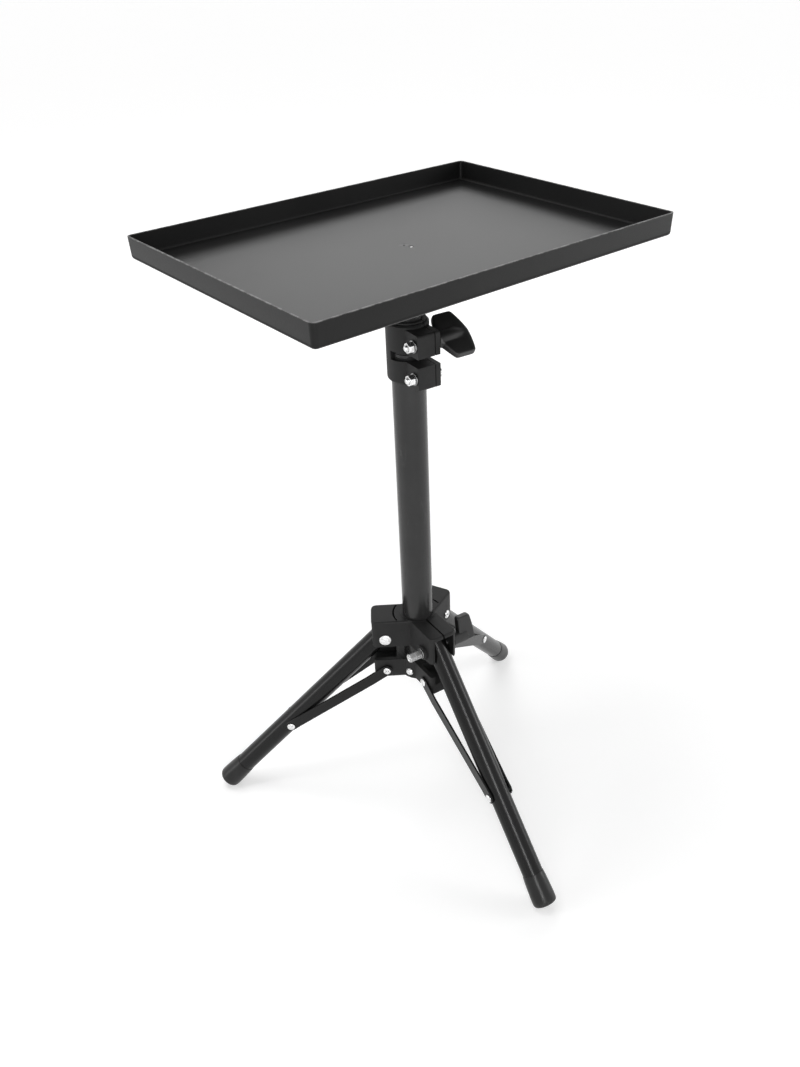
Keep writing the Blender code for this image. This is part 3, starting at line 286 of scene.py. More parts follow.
def socket_rows(flats, depth, chamfer, rim, facets):
    """The rows of a screw's face: the floor and wall of a hexagon socket, its wider mouth, and a rim.

    The wall is the hexagon of that size at each angle, and the mouth adds the chamfer to it. The rim
    is a profile that starts level with the mouth.
    """
    key = hexagon(flats, angles(facets))
    top = rim[0, 1]
    radius = np.concatenate((rings([0], facets), key, key, key + chamfer, rings(rim[:, 0], facets)))
    levels = [top - depth, top - depth, top - chamfer, top] + rim[:, 1].tolist()
    return radius, rings(levels, facets)


def thread_rows(facets):
    """Rows of a screw thread from its chamfered tip at height 0 up to the thread's length.

    The radius is the bolt's less the thread's depth times (1 - |2 f - 1|)^0.8, where f is the fraction
    part of height over pitch less angle over a full turn. A cone cuts it at the tip, and the depth
    fades out over the last pitch.
    """
    height = np.arange(0, THREAD_LENGTH, THREAD_PITCH / 8)[:, None]
    fraction = (height / THREAD_PITCH - angles(facets) / TURN) % 1
    fade = np.clip((THREAD_LENGTH - height) / THREAD_PITCH, 0, 1)
    groove = THREAD_DEPTH * fade * (1 - np.abs(2 * fraction - 1)) ** 0.8
    tip = BOLT_RADIUS - BOLT_CHAMFER + height
    return np.minimum(BOLT_RADIUS - 0.02 * MM - groove, tip), height * np.ones((1, facets))


# Surfaces

def add_piece(node, mesh, finish):
    """Puts a finished mesh on the body of the CAD node that it stands for."""
    piece = bpy.data.objects.new(node + "_finished", mesh)
    bpy.context.scene.collection.objects.link(piece)
    mesh.materials.clear()
    mesh.materials.append(finish)
    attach(piece, BODY_OF[node])
    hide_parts(node)
    return piece


def even_normals(piece):
    """Shades large faces flat up to their rounded edges."""
    weighted = piece.modifiers.new("even_normals", "WEIGHTED_NORMAL")
    weighted.keep_sharp = True
    weighted.weight = 80


def grid_piece(node, x, y, z, place, finish, closed=False, sharp_angle=40, face_out=False):
    """A skin over a grid of points, whose columns go round it and whose rows follow its profile.

    Each face joins a point to the next in its row and its column. The columns close round the axis,
    and the rows close too if closed is set. Points that coincide at poles and seams are merged.
    """
    rows, columns = z.shape
    points = np.stack((x, y, z, np.ones_like(z)), -1).reshape(-1, 4) @ place.T
    first = np.arange(rows if closed else rows - 1)[:, None]
    column = np.arange(columns)[None, :]
    after, beside = (first + 1) % rows, (column + 1) % columns
    faces = np.stack((first * columns + column, after * columns + column,
                      after * columns + beside, first * columns + beside), -1)
    mesh = bpy.data.meshes.new(node + "_finished")
    mesh.from_pydata(points[:, :3].tolist(), [], faces.reshape(-1, 4).tolist())
    build = bmesh.new()
    build.from_mesh(mesh)
    bmesh.ops.remove_doubles(build, verts=build.verts, dist=0.0002 * MM)
    if face_out:
        bmesh.ops.recalc_face_normals(build, faces=build.faces)
    build.to_mesh(mesh)
    build.free()
    mesh.shade_smooth()
    mesh.set_sharp_from_angle(angle=math.radians(sharp_angle))
    return add_piece(node, mesh, finish)


def turned_surface(node, radius, height, place, finish, closed=False, sharp_angle=40):
    """A surface of turning: x = r cos t, y = r sin t, z = h.

    The radius r and the height h are grids whose rows follow the profile, down the outside and up
    the bore, and whose columns follow the angle t round the axis.
    """
    angle = angles(radius.shape[1])
    even_normals(grid_piece(node, radius * np.cos(angle), radius * np.sin(angle), height, place,
                            finish, closed, sharp_angle))


def turned(node, profile, place, finish, facets=ROUND_FACETS, closed=False):
    """A plain lathe-turned piece: the same profile at every angle."""
    turned_surface(node, rings(profile[:, 0], facets), rings(profile[:, 1], facets), place, finish, closed)


def tube(node, outer, bore, low, high, place, finish):
    """A drawn tube with its cut ends deburred."""
    edge = 0.3 * MM
    profile = rounded([(bore, high, edge), (outer, high, edge), (outer, low, edge), (bore, low, edge)])
    turned(node, profile, place, finish, closed=True)


def washer(node, place):
    """A stamped washer: its upper rim is rolled over by the punch."""
    edge = 0.15 * MM
    ring = rounded([(WASHER_BORE, WASHER_THICKNESS, edge), (WASHER_RADIUS, WASHER_THICKNESS, 0.5 * MM),
                    (WASHER_RADIUS, 0, edge), (WASHER_BORE, 0, edge)])
    # The washer's zinc is darkened to paint the shade round its nut.
    turned(node, ring, place, ZINC_DARKENED_FOR_SHADE, closed=True)


def hexagon_nut(node, height, flats, place):
    """A hexagon nut: at each angle and height the lesser of the hexagon and of a cone at each end.

    The cone's radius is 0.96 of the hexagon's size plus the distance from the end times root 3.
    """
    facets = ROUND_FACETS
    ends = 1.3 * MM * np.linspace(0, 1, 9) ** 1.5
    level = np.concatenate((height - ends, ends[::-1]))[:, None]
    from_end = np.minimum(level, height - level)
    side = np.minimum(hexagon(flats, angles(facets)), 0.96 * flats + from_end * math.sqrt(3))
    bore = BOLT_RADIUS + 0.3 * MM
    chamfer = 0.5 * MM
    mouth = bore + chamfer
    radius = np.concatenate((rings([mouth], facets), side, rings([mouth, bore, bore], facets)))
    levels = [height] + level[:, 0].tolist() + [0, chamfer, height - chamfer]
    turned_surface(node, radius, rings(levels, facets), place, ZINC, closed=True, sharp_angle=28)


def bolt(node, head, place):
    """A bolt with a rolled thread at its tail. The head is (radius, height) rows from the top down."""
    radius, height = thread_rows(BOLT_FACETS)
    end = rings([0], BOLT_FACETS)
    radius = np.concatenate((head[0], rings([BOLT_RADIUS], BOLT_FACETS), radius[::-1], end))
    height = np.concatenate((head[1], rings([THREAD_LENGTH], BOLT_FACETS), height[::-1], end))
    turned_surface(node, radius, height, place, ZINC, sharp_angle=50)


def plain_end(length):
    """The rows of a bolt end that is hidden in its knob: a flat disc at the bolt's full length."""
    return rings([0, BOLT_RADIUS], BOLT_FACETS), rings([length, length], BOLT_FACETS)


def cap_head(seat):
    """The rows of a cap head: hexagon socket, top face, rounded rim and side, down to its seat."""
    top = seat + CAP_HEAD
    rim = rounded([(0, top, 0), (CAP_HEAD_RADIUS, top, 0.9 * MM), (CAP_HEAD_RADIUS, seat, 0.2 * MM),
                   (0, seat, 0)])
    past_socket = rim[:, 0] > CAP_HEAD_RADIUS - 1.0 * MM
    rim = np.concatenate((rim[past_socket], [(BOLT_RADIUS, seat)]))
    return socket_rows(CAP_HEAD_KEY, CAP_HEAD_KEY_DEPTH, 0.25 * MM, rim, BOLT_FACETS)


def across_rivet(node, place, grip, head, tail):
    """A semi-tubular rivet: domed head, shank, and a tail rolled outwards round its bore."""
    seat = grip / 2
    end = -seat - RIVET_HEAD
    shank = rounded([(PIN_RADIUS, seat, 0), (PIN_RADIUS, -seat, 0), (tail, -seat, 0.3 * MM),
                     (tail * 0.86, end, 0.9 * MM), (RIVET_BORE, end, 0.9 * MM),
                     (RIVET_BORE, end + 2.6 * MM, 0.2 * MM), (0, end + 3.0 * MM, 0), (0, seat, 0)])[:-1]
    turned(node, np.concatenate((dome(head, seat), shank)), place, ZINC, RIVET_FACETS)


def wing_knob(node, face, place, finish):
    """A moulded wing knob as one closed skin. x runs along the wing and y out along its bolt.

    The outer edge is a straight line plus a crown times 1 - |s|^1.6, where s runs from -1 at one tip
    to 1 at the other. The inner edge slopes back towards the clamp and meets its face at the hub.
    Each section is a superellipse between the two edges, |cos v|^0.3 by |sin v|^0.3, and its half
    thickness is the blend (w^6 + h^6)^(1/6) of the wing's w and the round hub's h = sqrt(r^2 - x^2).
    Towards each tip the section shrinks by (1 - |s|^16)^(1/16), and the hub narrows towards the crown.
    """
    tip_edge = face + KNOB_OFF_FACE
    along = np.sin(np.linspace(-TURN / 4, TURN / 4, KNOB_SECTIONS))[:, None]
    around = angles(ROUND_FACETS)
    shrink = np.maximum(1 - np.abs(along) ** 16, 0) ** (1 / 16)
    x = (KNOB_LOW + KNOB_HIGH) / 2 + (KNOB_HIGH - KNOB_LOW) / 2 * along
    outer = tip_edge + KNOB_WIDTH + KNOB_CROWN * (1 - np.abs(along) ** 1.6)
    reach = np.where(x > 0, KNOB_HIGH, -KNOB_LOW)
    root = 0.8 * KNOB_HUB_RADIUS
    slope = np.clip((reach - np.abs(x)) / (reach - root), 0, 1)
    wing_edge = tip_edge - KNOB_ROOT_RISE * slope
    at_hub = step(np.abs(x), KNOB_HUB_RADIUS + 0.1 * MM, KNOB_HUB_RADIUS - 0.5 * MM)
    inner = wing_edge + (face - wing_edge) * at_hub
    across = np.sign(np.cos(around)) * np.abs(np.cos(around)) ** 0.3
    y = (inner + outer) / 2 + (outer - inner) / 2 * shrink * across
    wing = KNOB_HALF_THICKNESS - KNOB_TIP_THINNING * np.abs(x) / reach
    wing = wing * step(y, wing_edge - 0.8 * MM, wing_edge + 0.4 * MM)
    taper = step(y, tip_edge + 0.35 * KNOB_WIDTH, outer)
    hub = np.sqrt(np.maximum((KNOB_HUB_RADIUS * (1 - 0.6 * taper)) ** 2 - x ** 2, 0))
    thick = (wing ** 6 + hub ** 6) ** (1 / 6)
    z = thick * shrink * np.sign(np.sin(around)) * np.abs(np.sin(around)) ** 0.3
    grid_piece(node, x + 0 * y, y, z, place, finish, sharp_angle=60, face_out=True)


def softened(node, finish, edge, sharp_angle=38, segments=2, smooth_angle=38):
    """A copy of a CAD node with its triangles merged into faces and its sharp edges rounded."""
    mesh = frame["nodes"][node].data.copy()
    mesh.name = node + "_finished"
    build = bmesh.new()
    build.from_mesh(mesh)
    bmesh.ops.remove_doubles(build, verts=build.verts, dist=0.001 * MM)
    bmesh.ops.dissolve_limit(build, angle_limit=math.radians(0.6), verts=build.verts, edges=build.edges)
    build.to_mesh(mesh)
    build.free()
    mesh.shade_smooth()
    mesh.set_sharp_from_angle(angle=math.radians(smooth_angle))
    piece = add_piece(node, mesh, finish)
    bevel = piece.modifiers.new("rounded_edges", "BEVEL")
    bevel.width = edge
    bevel.segments = segments
    bevel.limit_method = "ANGLE"
    bevel.angle_limit = math.radians(sharp_angle)
    bevel.miter_outer = "MITER_ARC"
    even_normals(piece)


# Materials

class Value:
    """A number in a node tree. Arithmetic on it adds Math nodes."""

    def __init__(self, tree, socket):
        self.tree = tree
        self.socket = socket

    def with_other(self, operation, other, reflected=False):
        first, second = (other, self) if reflected else (self, other)
        return self.tree.node("ShaderNodeMath", {"operation": operation}, {0: first, 1: second})

    def __add__(self, other):
        return self.with_other("ADD", other)

    def __radd__(self, other):
        return self.with_other("ADD", other, True)

    def __sub__(self, other):
        return self.with_other("SUBTRACT", other)

    def __rsub__(self, other):
        return self.with_other("SUBTRACT", other, True)

    def __mul__(self, other):
        return self.with_other("MULTIPLY", other)

    def __rmul__(self, other):
        return self.with_other("MULTIPLY", other, True)


class Tree:
    """A node tree, of a material or of the world."""

    def __init__(self, graph):
        self.graph = graph

    def node(self, kind, settings=None, sockets=None, output=0):
        """Adds a node, makes its settings, then fills its sockets with values or links."""
        made = self.graph.nodes.new(kind)
        for key, value in (settings or {}).items():
            setattr(made, key, value)
        for key, value in (sockets or {}).items():
            self.fill(made.inputs[key], value)
        return Value(self, made.outputs[output])

    def fill(self, socket, value):
        """Links a value's socket to this one, or sets a plain number or colour on it."""
        if isinstance(value, Value):
            self.graph.links.new(value.socket, socket)
        else:
            socket.default_value = value

    def band(self, value, low, high, start=0.0, end=1.0):
        """A smooth step: start where the value is under low, end where it is over high."""
        return self.node("ShaderNodeMapRange", {"interpolation_type": "SMOOTHSTEP"},
                         {"Value": value, "From Min": low, "From Max": high, "To Min": start, "To Max": end})

    def up(self, vector):
        """The z of a vector."""
        return self.node("ShaderNodeSeparateXYZ", {}, {"Vector": vector}, "Z")

    def background_rays(self):
        """1 for the rays that see the backdrop itself: straight from the camera, mirrored or let through."""
        kinds = [self.node("ShaderNodeLightPath", output=kind)
                 for kind in ("Is Camera Ray", "Is Glossy Ray", "Is Transmission Ray")]
        return self.node("ShaderNodeClamp", {}, {"Value": kinds[0] + kinds[1] + kinds[2]})


class Finish(Tree):
    """One material, whose patterns are read in the stand's frame or in a piece's own."""

    def __init__(self, name, slot):
        self.material = bpy.data.materials.new(name)
        self.material.use_nodes = True
        self.material["slot"] = slot
        super().__init__(self.material.node_tree)
        self.shader = self.graph.nodes["Principled BSDF"]
        self.place = self.node("ShaderNodeTexCoord", output="Object")

    def turned_to(self, place):
        """Reads the pattern in a piece's own frame instead of the stand's."""
        inverse = Matrix(np.linalg.inv(place))
        self.place = self.node("ShaderNodeMapping", {"vector_type": "POINT"},
                               {"Vector": self.place, "Location": inverse.to_translation(),
                                "Rotation": inverse.to_euler()})

    def stretched(self, x, y, z):
        """The place with each axis scaled, so that a pattern is long where the scale is small."""
        return self.node("ShaderNodeMapping", {"vector_type": "POINT"},
                         {"Vector": self.place, "Scale": (x, y, z)})

    def noise(self, scale, detail=2.0, roughness=0.5, place=None):
        """Cloudy noise, with its scale in clouds for each metre."""
        return self.node("ShaderNodeTexNoise", {},
                         {"Vector": place or self.place, "Scale": scale, "Detail": detail,
                          "Roughness": roughness})

    def cells(self, scale):
        """The distance to the nearest of scattered points, with their number along each metre."""
        return self.node("ShaderNodeTexVoronoi", {"feature": "F1"},
                         {"Vector": self.place, "Scale": scale}, "Distance")

    def height(self):
        """The height in the frame that the pattern is read in."""
        return self.up(self.place)

    def edges(self, radius):
        """1 on an edge and 0 away from it: how far the rounded normal leans from the true one."""
        soft = self.node("ShaderNodeBevel", {"samples": 4}, {"Radius": radius})
        true = self.node("ShaderNodeNewGeometry", output="Normal")
        lean = self.node("ShaderNodeVectorMath", {"operation": "DOT_PRODUCT"}, {0: soft, 1: true}, "Value")
        return self.band(lean, 0.995, 0.90)

    def mixed(self, share, first, second):
        """A colour between two colours."""
        return self.node("ShaderNodeMix", {"data_type": "RGBA"},
                         {"Factor": share, 6: first, 7: second}, 2)

    def drifting(self, clouds, dark, light):
        """A grey that drifts with the clouds between two levels."""
        return self.mixed(self.band(clouds, 0.3, 0.7), grey(dark), grey(light))

    def bump(self, height, distance, normal=None):
        """A normal that follows a height, on top of another bump's normal if one is given."""
        sockets = {"Height": height, "Distance": distance}
        if normal:
            sockets["Normal"] = normal
        return self.node("ShaderNodeBump", {}, sockets)

    def surface(self, **sockets):
        """Fills the shader's sockets, named with underscores for spaces."""
        for key, value in sockets.items():
            self.fill(self.shader.inputs[key.replace("_", " ")], value)
        return self.material


def grey(level, warm=0.0):
    """A grey, made warmer or, below 0, cooler by that share."""
    return (level * (1 + warm), level, level * (1 - warm), 1.0)


def tray_enamel():
    """Black powder coat: orange peel, fine grain, faint scuffs, and a rim lightened in patches, partly worn
    paint and partly a painted highlight.
    """
    f = Finish("tray_enamel", "black_enamel")
    clouds = f.noise(9, 3)
    peel = f.noise(650, 2)
    grain = f.noise(3200, 1)
    scuffs = f.band(f.noise(14, 6, 0.72), 0.60, 0.74) * f.noise(900, 3, 0.7, f.stretched(1, 0.12, 1))
    rim = f.band(f.height(), TRAY_RIM - 0.75 * MM, TRAY_RIM - 0.15 * MM)
    # The rim's top is lightened in noisy patches: partly worn paint, partly a painted highlight along the
    # rim.
    rim_highlight_and_wear = rim * f.band(f.noise(160, 4, 0.6), 0.38, 0.62, 0.10, 1.0)
    base = f.drifting(clouds, 0.007, 0.011)
    base = f.mixed(scuffs * 0.2, base, grey(0.032))
    base = f.mixed(rim_highlight_and_wear * 0.6, base, grey(0.20))
    fold = f.band(f.height(), TRAY_FLOOR + 0.05 * MM, TRAY_FLOOR + 0.5 * MM)
    fold = fold * f.band(f.height(), TRAY_FLOOR + 1.4 * MM, TRAY_FLOOR + 3 * MM, 1.0, 0.0)
    roughness = 0.38 + clouds * 0.05 + scuffs * 0.04 + fold * 0.3
    normal = f.bump(grain, 0.010 * MM, f.bump(peel, 0.045 * MM))
    return f.surface(Base_Color=base, Roughness=roughness, Normal=normal, Specular_IOR_Level=0.20)


def column_satin(name, place, wear):
    """Satin stove paint on drawn tube: faint lines along the tube and rub marks from sliding."""
    f = Finish(name, "column_satin")
    f.turned_to(place)
    lines = f.noise(500, 3, 0.6, f.stretched(1, 1, 0.01))
    clouds = f.noise(25, 3)
    rubs = f.band(f.noise(60, 5, 0.7, f.stretched(1, 1, 0.2)), 0.58, 0.72) * wear
    base = f.drifting(clouds, 0.021, 0.027)
    base = f.mixed(rubs * 0.3, base, grey(0.10))
    roughness = 0.19 + clouds * 0.05 + rubs * 0.12 + lines * 0.03
    normal = f.bump(f.noise(900, 2), 0.012 * MM, f.bump(lines, 0.010 * MM))
    return f.surface(Base_Color=base, Roughness=roughness, Normal=normal, Specular_IOR_Level=0.32)


def leg_gloss(name, place):
    """Gloss black enamel on drawn tube or bar: long soft waves, fine dust and hairline scratches."""
    f = Finish(name, "leg_gloss")
    f.turned_to(place)
    waves = f.noise(45, 2, 0.5, f.stretched(1, 1, 0.15))
    scratches = f.band(f.noise(700, 4, 0.75, f.stretched(1, 1, 0.02)), 0.60, 0.68)
    dust = f.band(f.noise(2600, 2, 0.6), 0.66, 0.74)
    base = f.mixed(dust * 0.3, grey(0.004), grey(0.03))
    roughness = 0.23 + waves * 0.06 + scratches * 0.10 + dust * 0.2
    normal = f.bump(waves, 0.015 * MM, f.bump(f.noise(380, 2), 0.002 * MM))
    return f.surface(Base_Color=base, Roughness=roughness, Normal=normal, Specular_IOR_Level=0.25)


def hub_moulding():
    """Glass-filled black moulding: spark-eroded texture, flow clouds, and edges rubbed smooth and lightened
    in patches, partly as a painted highlight.
    """
    f = Finish("hub_moulding", "moulded_black")
    spark = f.noise(1500, 3, 0.65)
    pits = f.cells(2300)
    clouds = f.noise(35, 3, 0.6)
    lighter_edge_patches = f.edges(0.9 * MM) * f.band(f.noise(220, 3), 0.35, 0.6)
    base = f.drifting(clouds, 0.010, 0.015)
    # Lighter edge patches: partly rubbed wear, partly a painted highlight along the edges.
    base = f.mixed(lighter_edge_patches * 0.3, base, grey(0.05))
    roughness = 0.52 + clouds * 0.08 - lighter_edge_patches * 0.16
    normal = f.bump(pits, 0.012 * MM, f.bump(spark, 0.035 * MM))
    return f.surface(Base_Color=base, Roughness=roughness, Normal=normal, Specular_IOR_Level=0.25)


def knob_moulding():
    """Smooth black moulding, polished by hand on its edges, which are also lightened as a painted highlight.
    """
    f = Finish("knob_moulding", "knob_black")
    clouds = f.noise(60, 3)
    texture = f.noise(2000, 2, 0.6)
    edge_highlight_and_polish = f.edges(1.2 * MM)
    base = f.drifting(clouds, 0.007, 0.011)
    # The edges are lightened as a painted highlight; their lower roughness is the polish.
    base = f.mixed(edge_highlight_and_polish * 0.25, base, grey(0.04))
    roughness = 0.40 + clouds * 0.08 - edge_highlight_and_polish * 0.12
    normal = f.bump(texture, 0.018 * MM, f.bump(f.noise(120, 2), 0.04 * MM))
    return f.surface(Base_Color=base, Roughness=roughness, Normal=normal)


def zinc_steel(name, level):
    """Zinc plate on turned and cold-headed steel: tool lines, spangle and dull handling marks."""
    f = Finish(name, "bare_steel")
    lines = f.noise(2600, 3, 0.6, f.stretched(1, 0.06, 1))
    spangle = f.cells(900)
    dull = f.band(f.noise(350, 4, 0.65), 0.42, 0.66)
    base = f.mixed(dull, grey(0.84 * level, -0.01), grey(0.56 * level, 0.01))
    base = f.mixed(f.band(spangle, 0.2, 0.8) * 0.25, base, grey(0.88 * level, 0.02))
    roughness = 0.20 + dull * 0.16 + lines * 0.08
    normal = f.bump(lines, 0.010 * MM, f.bump(f.noise(700, 2), 0.015 * MM))
    return f.surface(Base_Color=base, Roughness=roughness, Metallic=1.0, Normal=normal)


def screw_oxide():
    """Black oxide on steel: nearly black, with brighter rubbed edges."""
    f = Finish("screw_oxide", "knob_black")
    lighter_edge_patches = f.edges(0.4 * MM) * f.band(f.noise(600, 3), 0.4, 0.6)
    base = f.mixed(lighter_edge_patches * 0.6, grey(0.012), grey(0.16))
    roughness = 0.36 + f.noise(900, 3) * 0.14
    return f.surface(Base_Color=base, Roughness=roughness, Metallic=0.5,
                     Normal=f.bump(f.noise(1800, 2), 0.012 * MM))


def foot_rubber(name, place):
    """Black rubber: fine bloom, a matt skin, and pale dust on the end that meets the floor."""
    f = Finish(name, "foot_rubber")
    f.turned_to(place)
    bloom = f.noise(90, 4, 0.6)
    skin = f.noise(1700, 2, 0.6)
    dust = f.band(f.height(), -LEG_LENGTH + 9 * MM, -LEG_LENGTH)
    dust = dust * f.band(f.noise(420, 4, 0.65), 0.40, 0.66)
    base = f.drifting(bloom, 0.008, 0.012)
    base = f.mixed(dust * 0.3, base, grey(0.10, 0.04))
    roughness = 0.28 + bloom * 0.10 + dust * 0.3
    normal = f.bump(skin, 0.012 * MM)
    return f.surface(Base_Color=base, Roughness=roughness, Normal=normal, Specular_IOR_Level=0.30)


ENAMEL = tray_enamel()
COLUMN_PAINT = column_satin("column_satin", COLUMN_PLACE, 0.6)
POST_PAINT = column_satin("post_satin", UPRIGHT, 1.0)
HUB = hub_moulding()
KNOB = knob_moulding()
ZINC = zinc_steel("zinc_steel", 1.0)
# The washers' zinc is darkened to paint the shade round the nuts.
ZINC_DARKENED_FOR_SHADE = zinc_steel("zinc_steel_painted_shade", 0.35)
OXIDE = screw_oxide()


# Pieces

def finish_tubes():
    """The drawn tubes of the column and of the post that slides in it."""
    tube("outer_tube", COLUMN_RADIUS, COLUMN_BORE, COLUMN_LOW, COLUMN_TOP, COLUMN_PLACE, COLUMN_PAINT)
    tube("inner_post", POST_RADIUS, POST_BORE, POST_LOW, POST_TOP, UPRIGHT, POST_PAINT)


def finish_foot_plug():
    """The plug in the column's foot: a flange under the tube and a spigot in its bore."""
    spigot = COLUMN_BORE - SPIGOT_GAP
    profile = rounded([(0, FOOT_PLUG_TOP, 0), (spigot, FOOT_PLUG_TOP, 1.5 * MM),
                       (spigot, FOOT_PLUG_FLANGE, 0), (COLUMN_RADIUS, FOOT_PLUG_FLANGE, 0.3 * MM),
                       (COLUMN_RADIUS, 0, 1.0 * MM), (0, 0, 0)])
    turned("column_foot_plug", profile, COLUMN_PLACE, HUB)


def finish_column_mouldings():
    """The lower hub, the collar clamp and its sleeve, with the part's own shapes and rounded edges."""
    softened("lower_spider", HUB, 0.35 * MM)
    softened("collar_clamp", HUB, 0.35 * MM)
    softened("clamp_sleeve", HUB, 0.25 * MM)


def finish_hub_rivets():
    """The rivets that hold the lower hub on the column, between its arms, each with a hollow head."""
    seat = HUB_RIVET_SHANK
    rim = seat + RIVET_HEAD
    profile = rounded([(0, seat + 0.8 * MM, 0), (RIVET_BORE, seat + 0.95 * MM, 0.1 * MM),
                       (RIVET_BORE, rim, 0.2 * MM), (3.2 * MM, rim, 0.9 * MM),
                       (RIVET_HEAD_RADIUS, seat, 0.15 * MM), (PIN_RADIUS, seat, 0),
                       (PIN_RADIUS, 0, 0.4 * MM), (0, 0, 0)])
    for index in range(3):
        direction = COLUMN_TURN + index * TURN / 3 + TURN / 6
        place = turn(direction, "Z") @ shift(HUB_RIVET_START, 0, HUB_RIVET_Z) @ ALONG_X
        turned("spider_rivet_%d" % (index + 1), profile, place, ZINC, RIVET_FACETS)


def finish_collar_fasteners():
    """The collar's two bolts with their nuts and washers. The upper one has the wing knob."""
    nut_seat = -COLLAR_FACE - NUT_SEAT
    tail = nut_seat - COLLAR_NUT_HEIGHT - COLLAR_BOLT_PAST_NUT
    for label, z in COLLAR_BOLT_Z.items():
        place = COLUMN_PLACE @ shift(COLLAR_BOLT_REACH, -COLLAR_FACE, z) @ AGAINST_Y
        washer("collar_washer_" + label, place)
        place = COLUMN_PLACE @ shift(COLLAR_BOLT_REACH, nut_seat, z) @ AGAINST_Y
        hexagon_nut("collar_nut_" + label, COLLAR_NUT_HEIGHT, COLLAR_NUT_FLATS, place)
    place = COLUMN_PLACE @ shift(COLLAR_BOLT_REACH, tail, COLLAR_BOLT_Z["lower"]) @ ALONG_Y
    bolt("collar_bolt", cap_head(COLLAR_FACE - tail), place)
    place = COLUMN_PLACE @ shift(COLLAR_BOLT_REACH, tail, COLLAR_BOLT_Z["upper"]) @ ALONG_Y
    bolt("clamp_bolt", plain_end(COLLAR_FACE + COLLAR_KNOB_GRIP - tail), place)
    place = COLUMN_PLACE @ shift(COLLAR_BOLT_REACH, 0, COLLAR_BOLT_Z["upper"]) @ turn(KNOB_TURN, "Y")
    wing_knob("clamp_knob", COLLAR_FACE, place, KNOB)


def finish_crown():
    """The crown, its bolt with washer, nut and knob, and the pivots of the other two legs."""
    softened("upper_crown", HUB, 0.4 * MM)
    nut_seat = -CROWN_FACE - NUT_SEAT
    tail = nut_seat - CROWN_NUT_HEIGHT + CROWN_BOLT_IN_NUT
    place = arm_place("front", LEG_PIVOT_Z)
    washer("crown_washer", place @ shift(0, -CROWN_FACE, 0) @ AGAINST_Y)
    hexagon_nut("crown_nut", CROWN_NUT_HEIGHT, CROWN_NUT_FLATS, place @ shift(0, nut_seat, 0) @ AGAINST_Y)
    bolt("crown_bolt", plain_end(CROWN_FACE + CROWN_KNOB_GRIP - tail), place @ shift(0, tail, 0) @ ALONG_Y)
    softened("crown_knob", KNOB, 0.7 * MM, 50, 3, 50)
    for name in LEG_NAMES[1:]:
        across_rivet("leg_rivet_" + name, arm_place(name, LEG_PIVOT_Z) @ ALONG_Y, LEG_RIVET_GRIP,
                     LEG_RIVET_HEAD_RADIUS, LEG_RIVET_TAIL_RADIUS)


def finish_post_head():
    """The head: a flange under the tray and a socket that the post is pressed into."""
    profile = rounded([(0, HEAD_TOP, 0), (HEAD_FLANGE_RADIUS, HEAD_TOP, 1.0 * MM),
                       (HEAD_FLANGE_RADIUS, HEAD_FLANGE_LOW, 0.8 * MM),
                       (HEAD_SOCKET_RADIUS, HEAD_FLANGE_LOW, 4.0 * MM),
                       (HEAD_SOCKET_RADIUS, HEAD_SOCKET_LOW, 1.5 * MM),
                       (HEAD_BORE, HEAD_SOCKET_LOW, 0.5 * MM), (HEAD_BORE, HEAD_BORE_TOP, 0),
                       (0, HEAD_BORE_TOP, 0)], 7)
    turned("post_head", profile, UPRIGHT, HUB, HEAD_FACETS)


def finish_key_pin():
    """The pin beside the screw that keeps the tray from turning on the head."""
    profile = rounded([(0, KEY_PIN_TOP, 0), (KEY_PIN_RADIUS, KEY_PIN_TOP, 0.4 * MM),
                       (KEY_PIN_RADIUS, KEY_PIN_LOW, 0.2 * MM), (0, KEY_PIN_LOW, 0)])
    place = shift(KEY_PIN_REACH * math.cos(KEY_PIN_TURN), KEY_PIN_REACH * math.sin(KEY_PIN_TURN), 0)
    turned("key_pin", profile, place, ZINC, BOLT_FACETS)


def finish_tray_screw():
    """The countersunk screw in the tray's middle, with a hexagon socket."""
    top = TRAY_FLOOR - TRAY_SCREW_SUNK
    rim = rounded([(0, top, 0), (TRAY_SCREW_HEAD_RADIUS, top, 0.2 * MM),
                   (TRAY_SCREW_RADIUS, top - TRAY_SCREW_HEAD, 0.3 * MM),
                   (TRAY_SCREW_RADIUS, TRAY_SCREW_LOW, 0.4 * MM), (0, TRAY_SCREW_LOW, 0)])[1:]
    radius, height = socket_rows(TRAY_SCREW_KEY, TRAY_SCREW_KEY_DEPTH, 0.2 * MM, rim, BOLT_FACETS)
    turned_surface("tray_screw", radius, height, UPRIGHT, OXIDE)


def finish_leg(name):
    """One leg: its tube, the plug in its top, and its rubber foot."""
    place = leg_place(name)
    gloss = leg_gloss("leg_gloss_" + name, place)
    rubber = foot_rubber("foot_rubber_" + name, place)
    tube("leg_tube_" + name, LEG_RADIUS, LEG_BORE, -LEG_LENGTH + LEG_TUBE_SHORT, LEG_TOP, place, gloss)
    spigot = LEG_BORE - SPIGOT_GAP
    plug = rounded([(0, LEG_PLUG_TOP, 0), (LEG_PLUG_RADIUS, LEG_PLUG_TOP, 1.4 * MM),
                    (LEG_PLUG_RADIUS, LEG_PLUG_SEAT, 0.2 * MM), (spigot, LEG_PLUG_SEAT, 0),
                    (spigot, LEG_PLUG_LOW, 0.8 * MM), (0, LEG_PLUG_LOW, 0)])
    turned("leg_plug_" + name, plug, place, HUB)
    turned("foot_cap_" + name, foot_profile(), place, rubber)


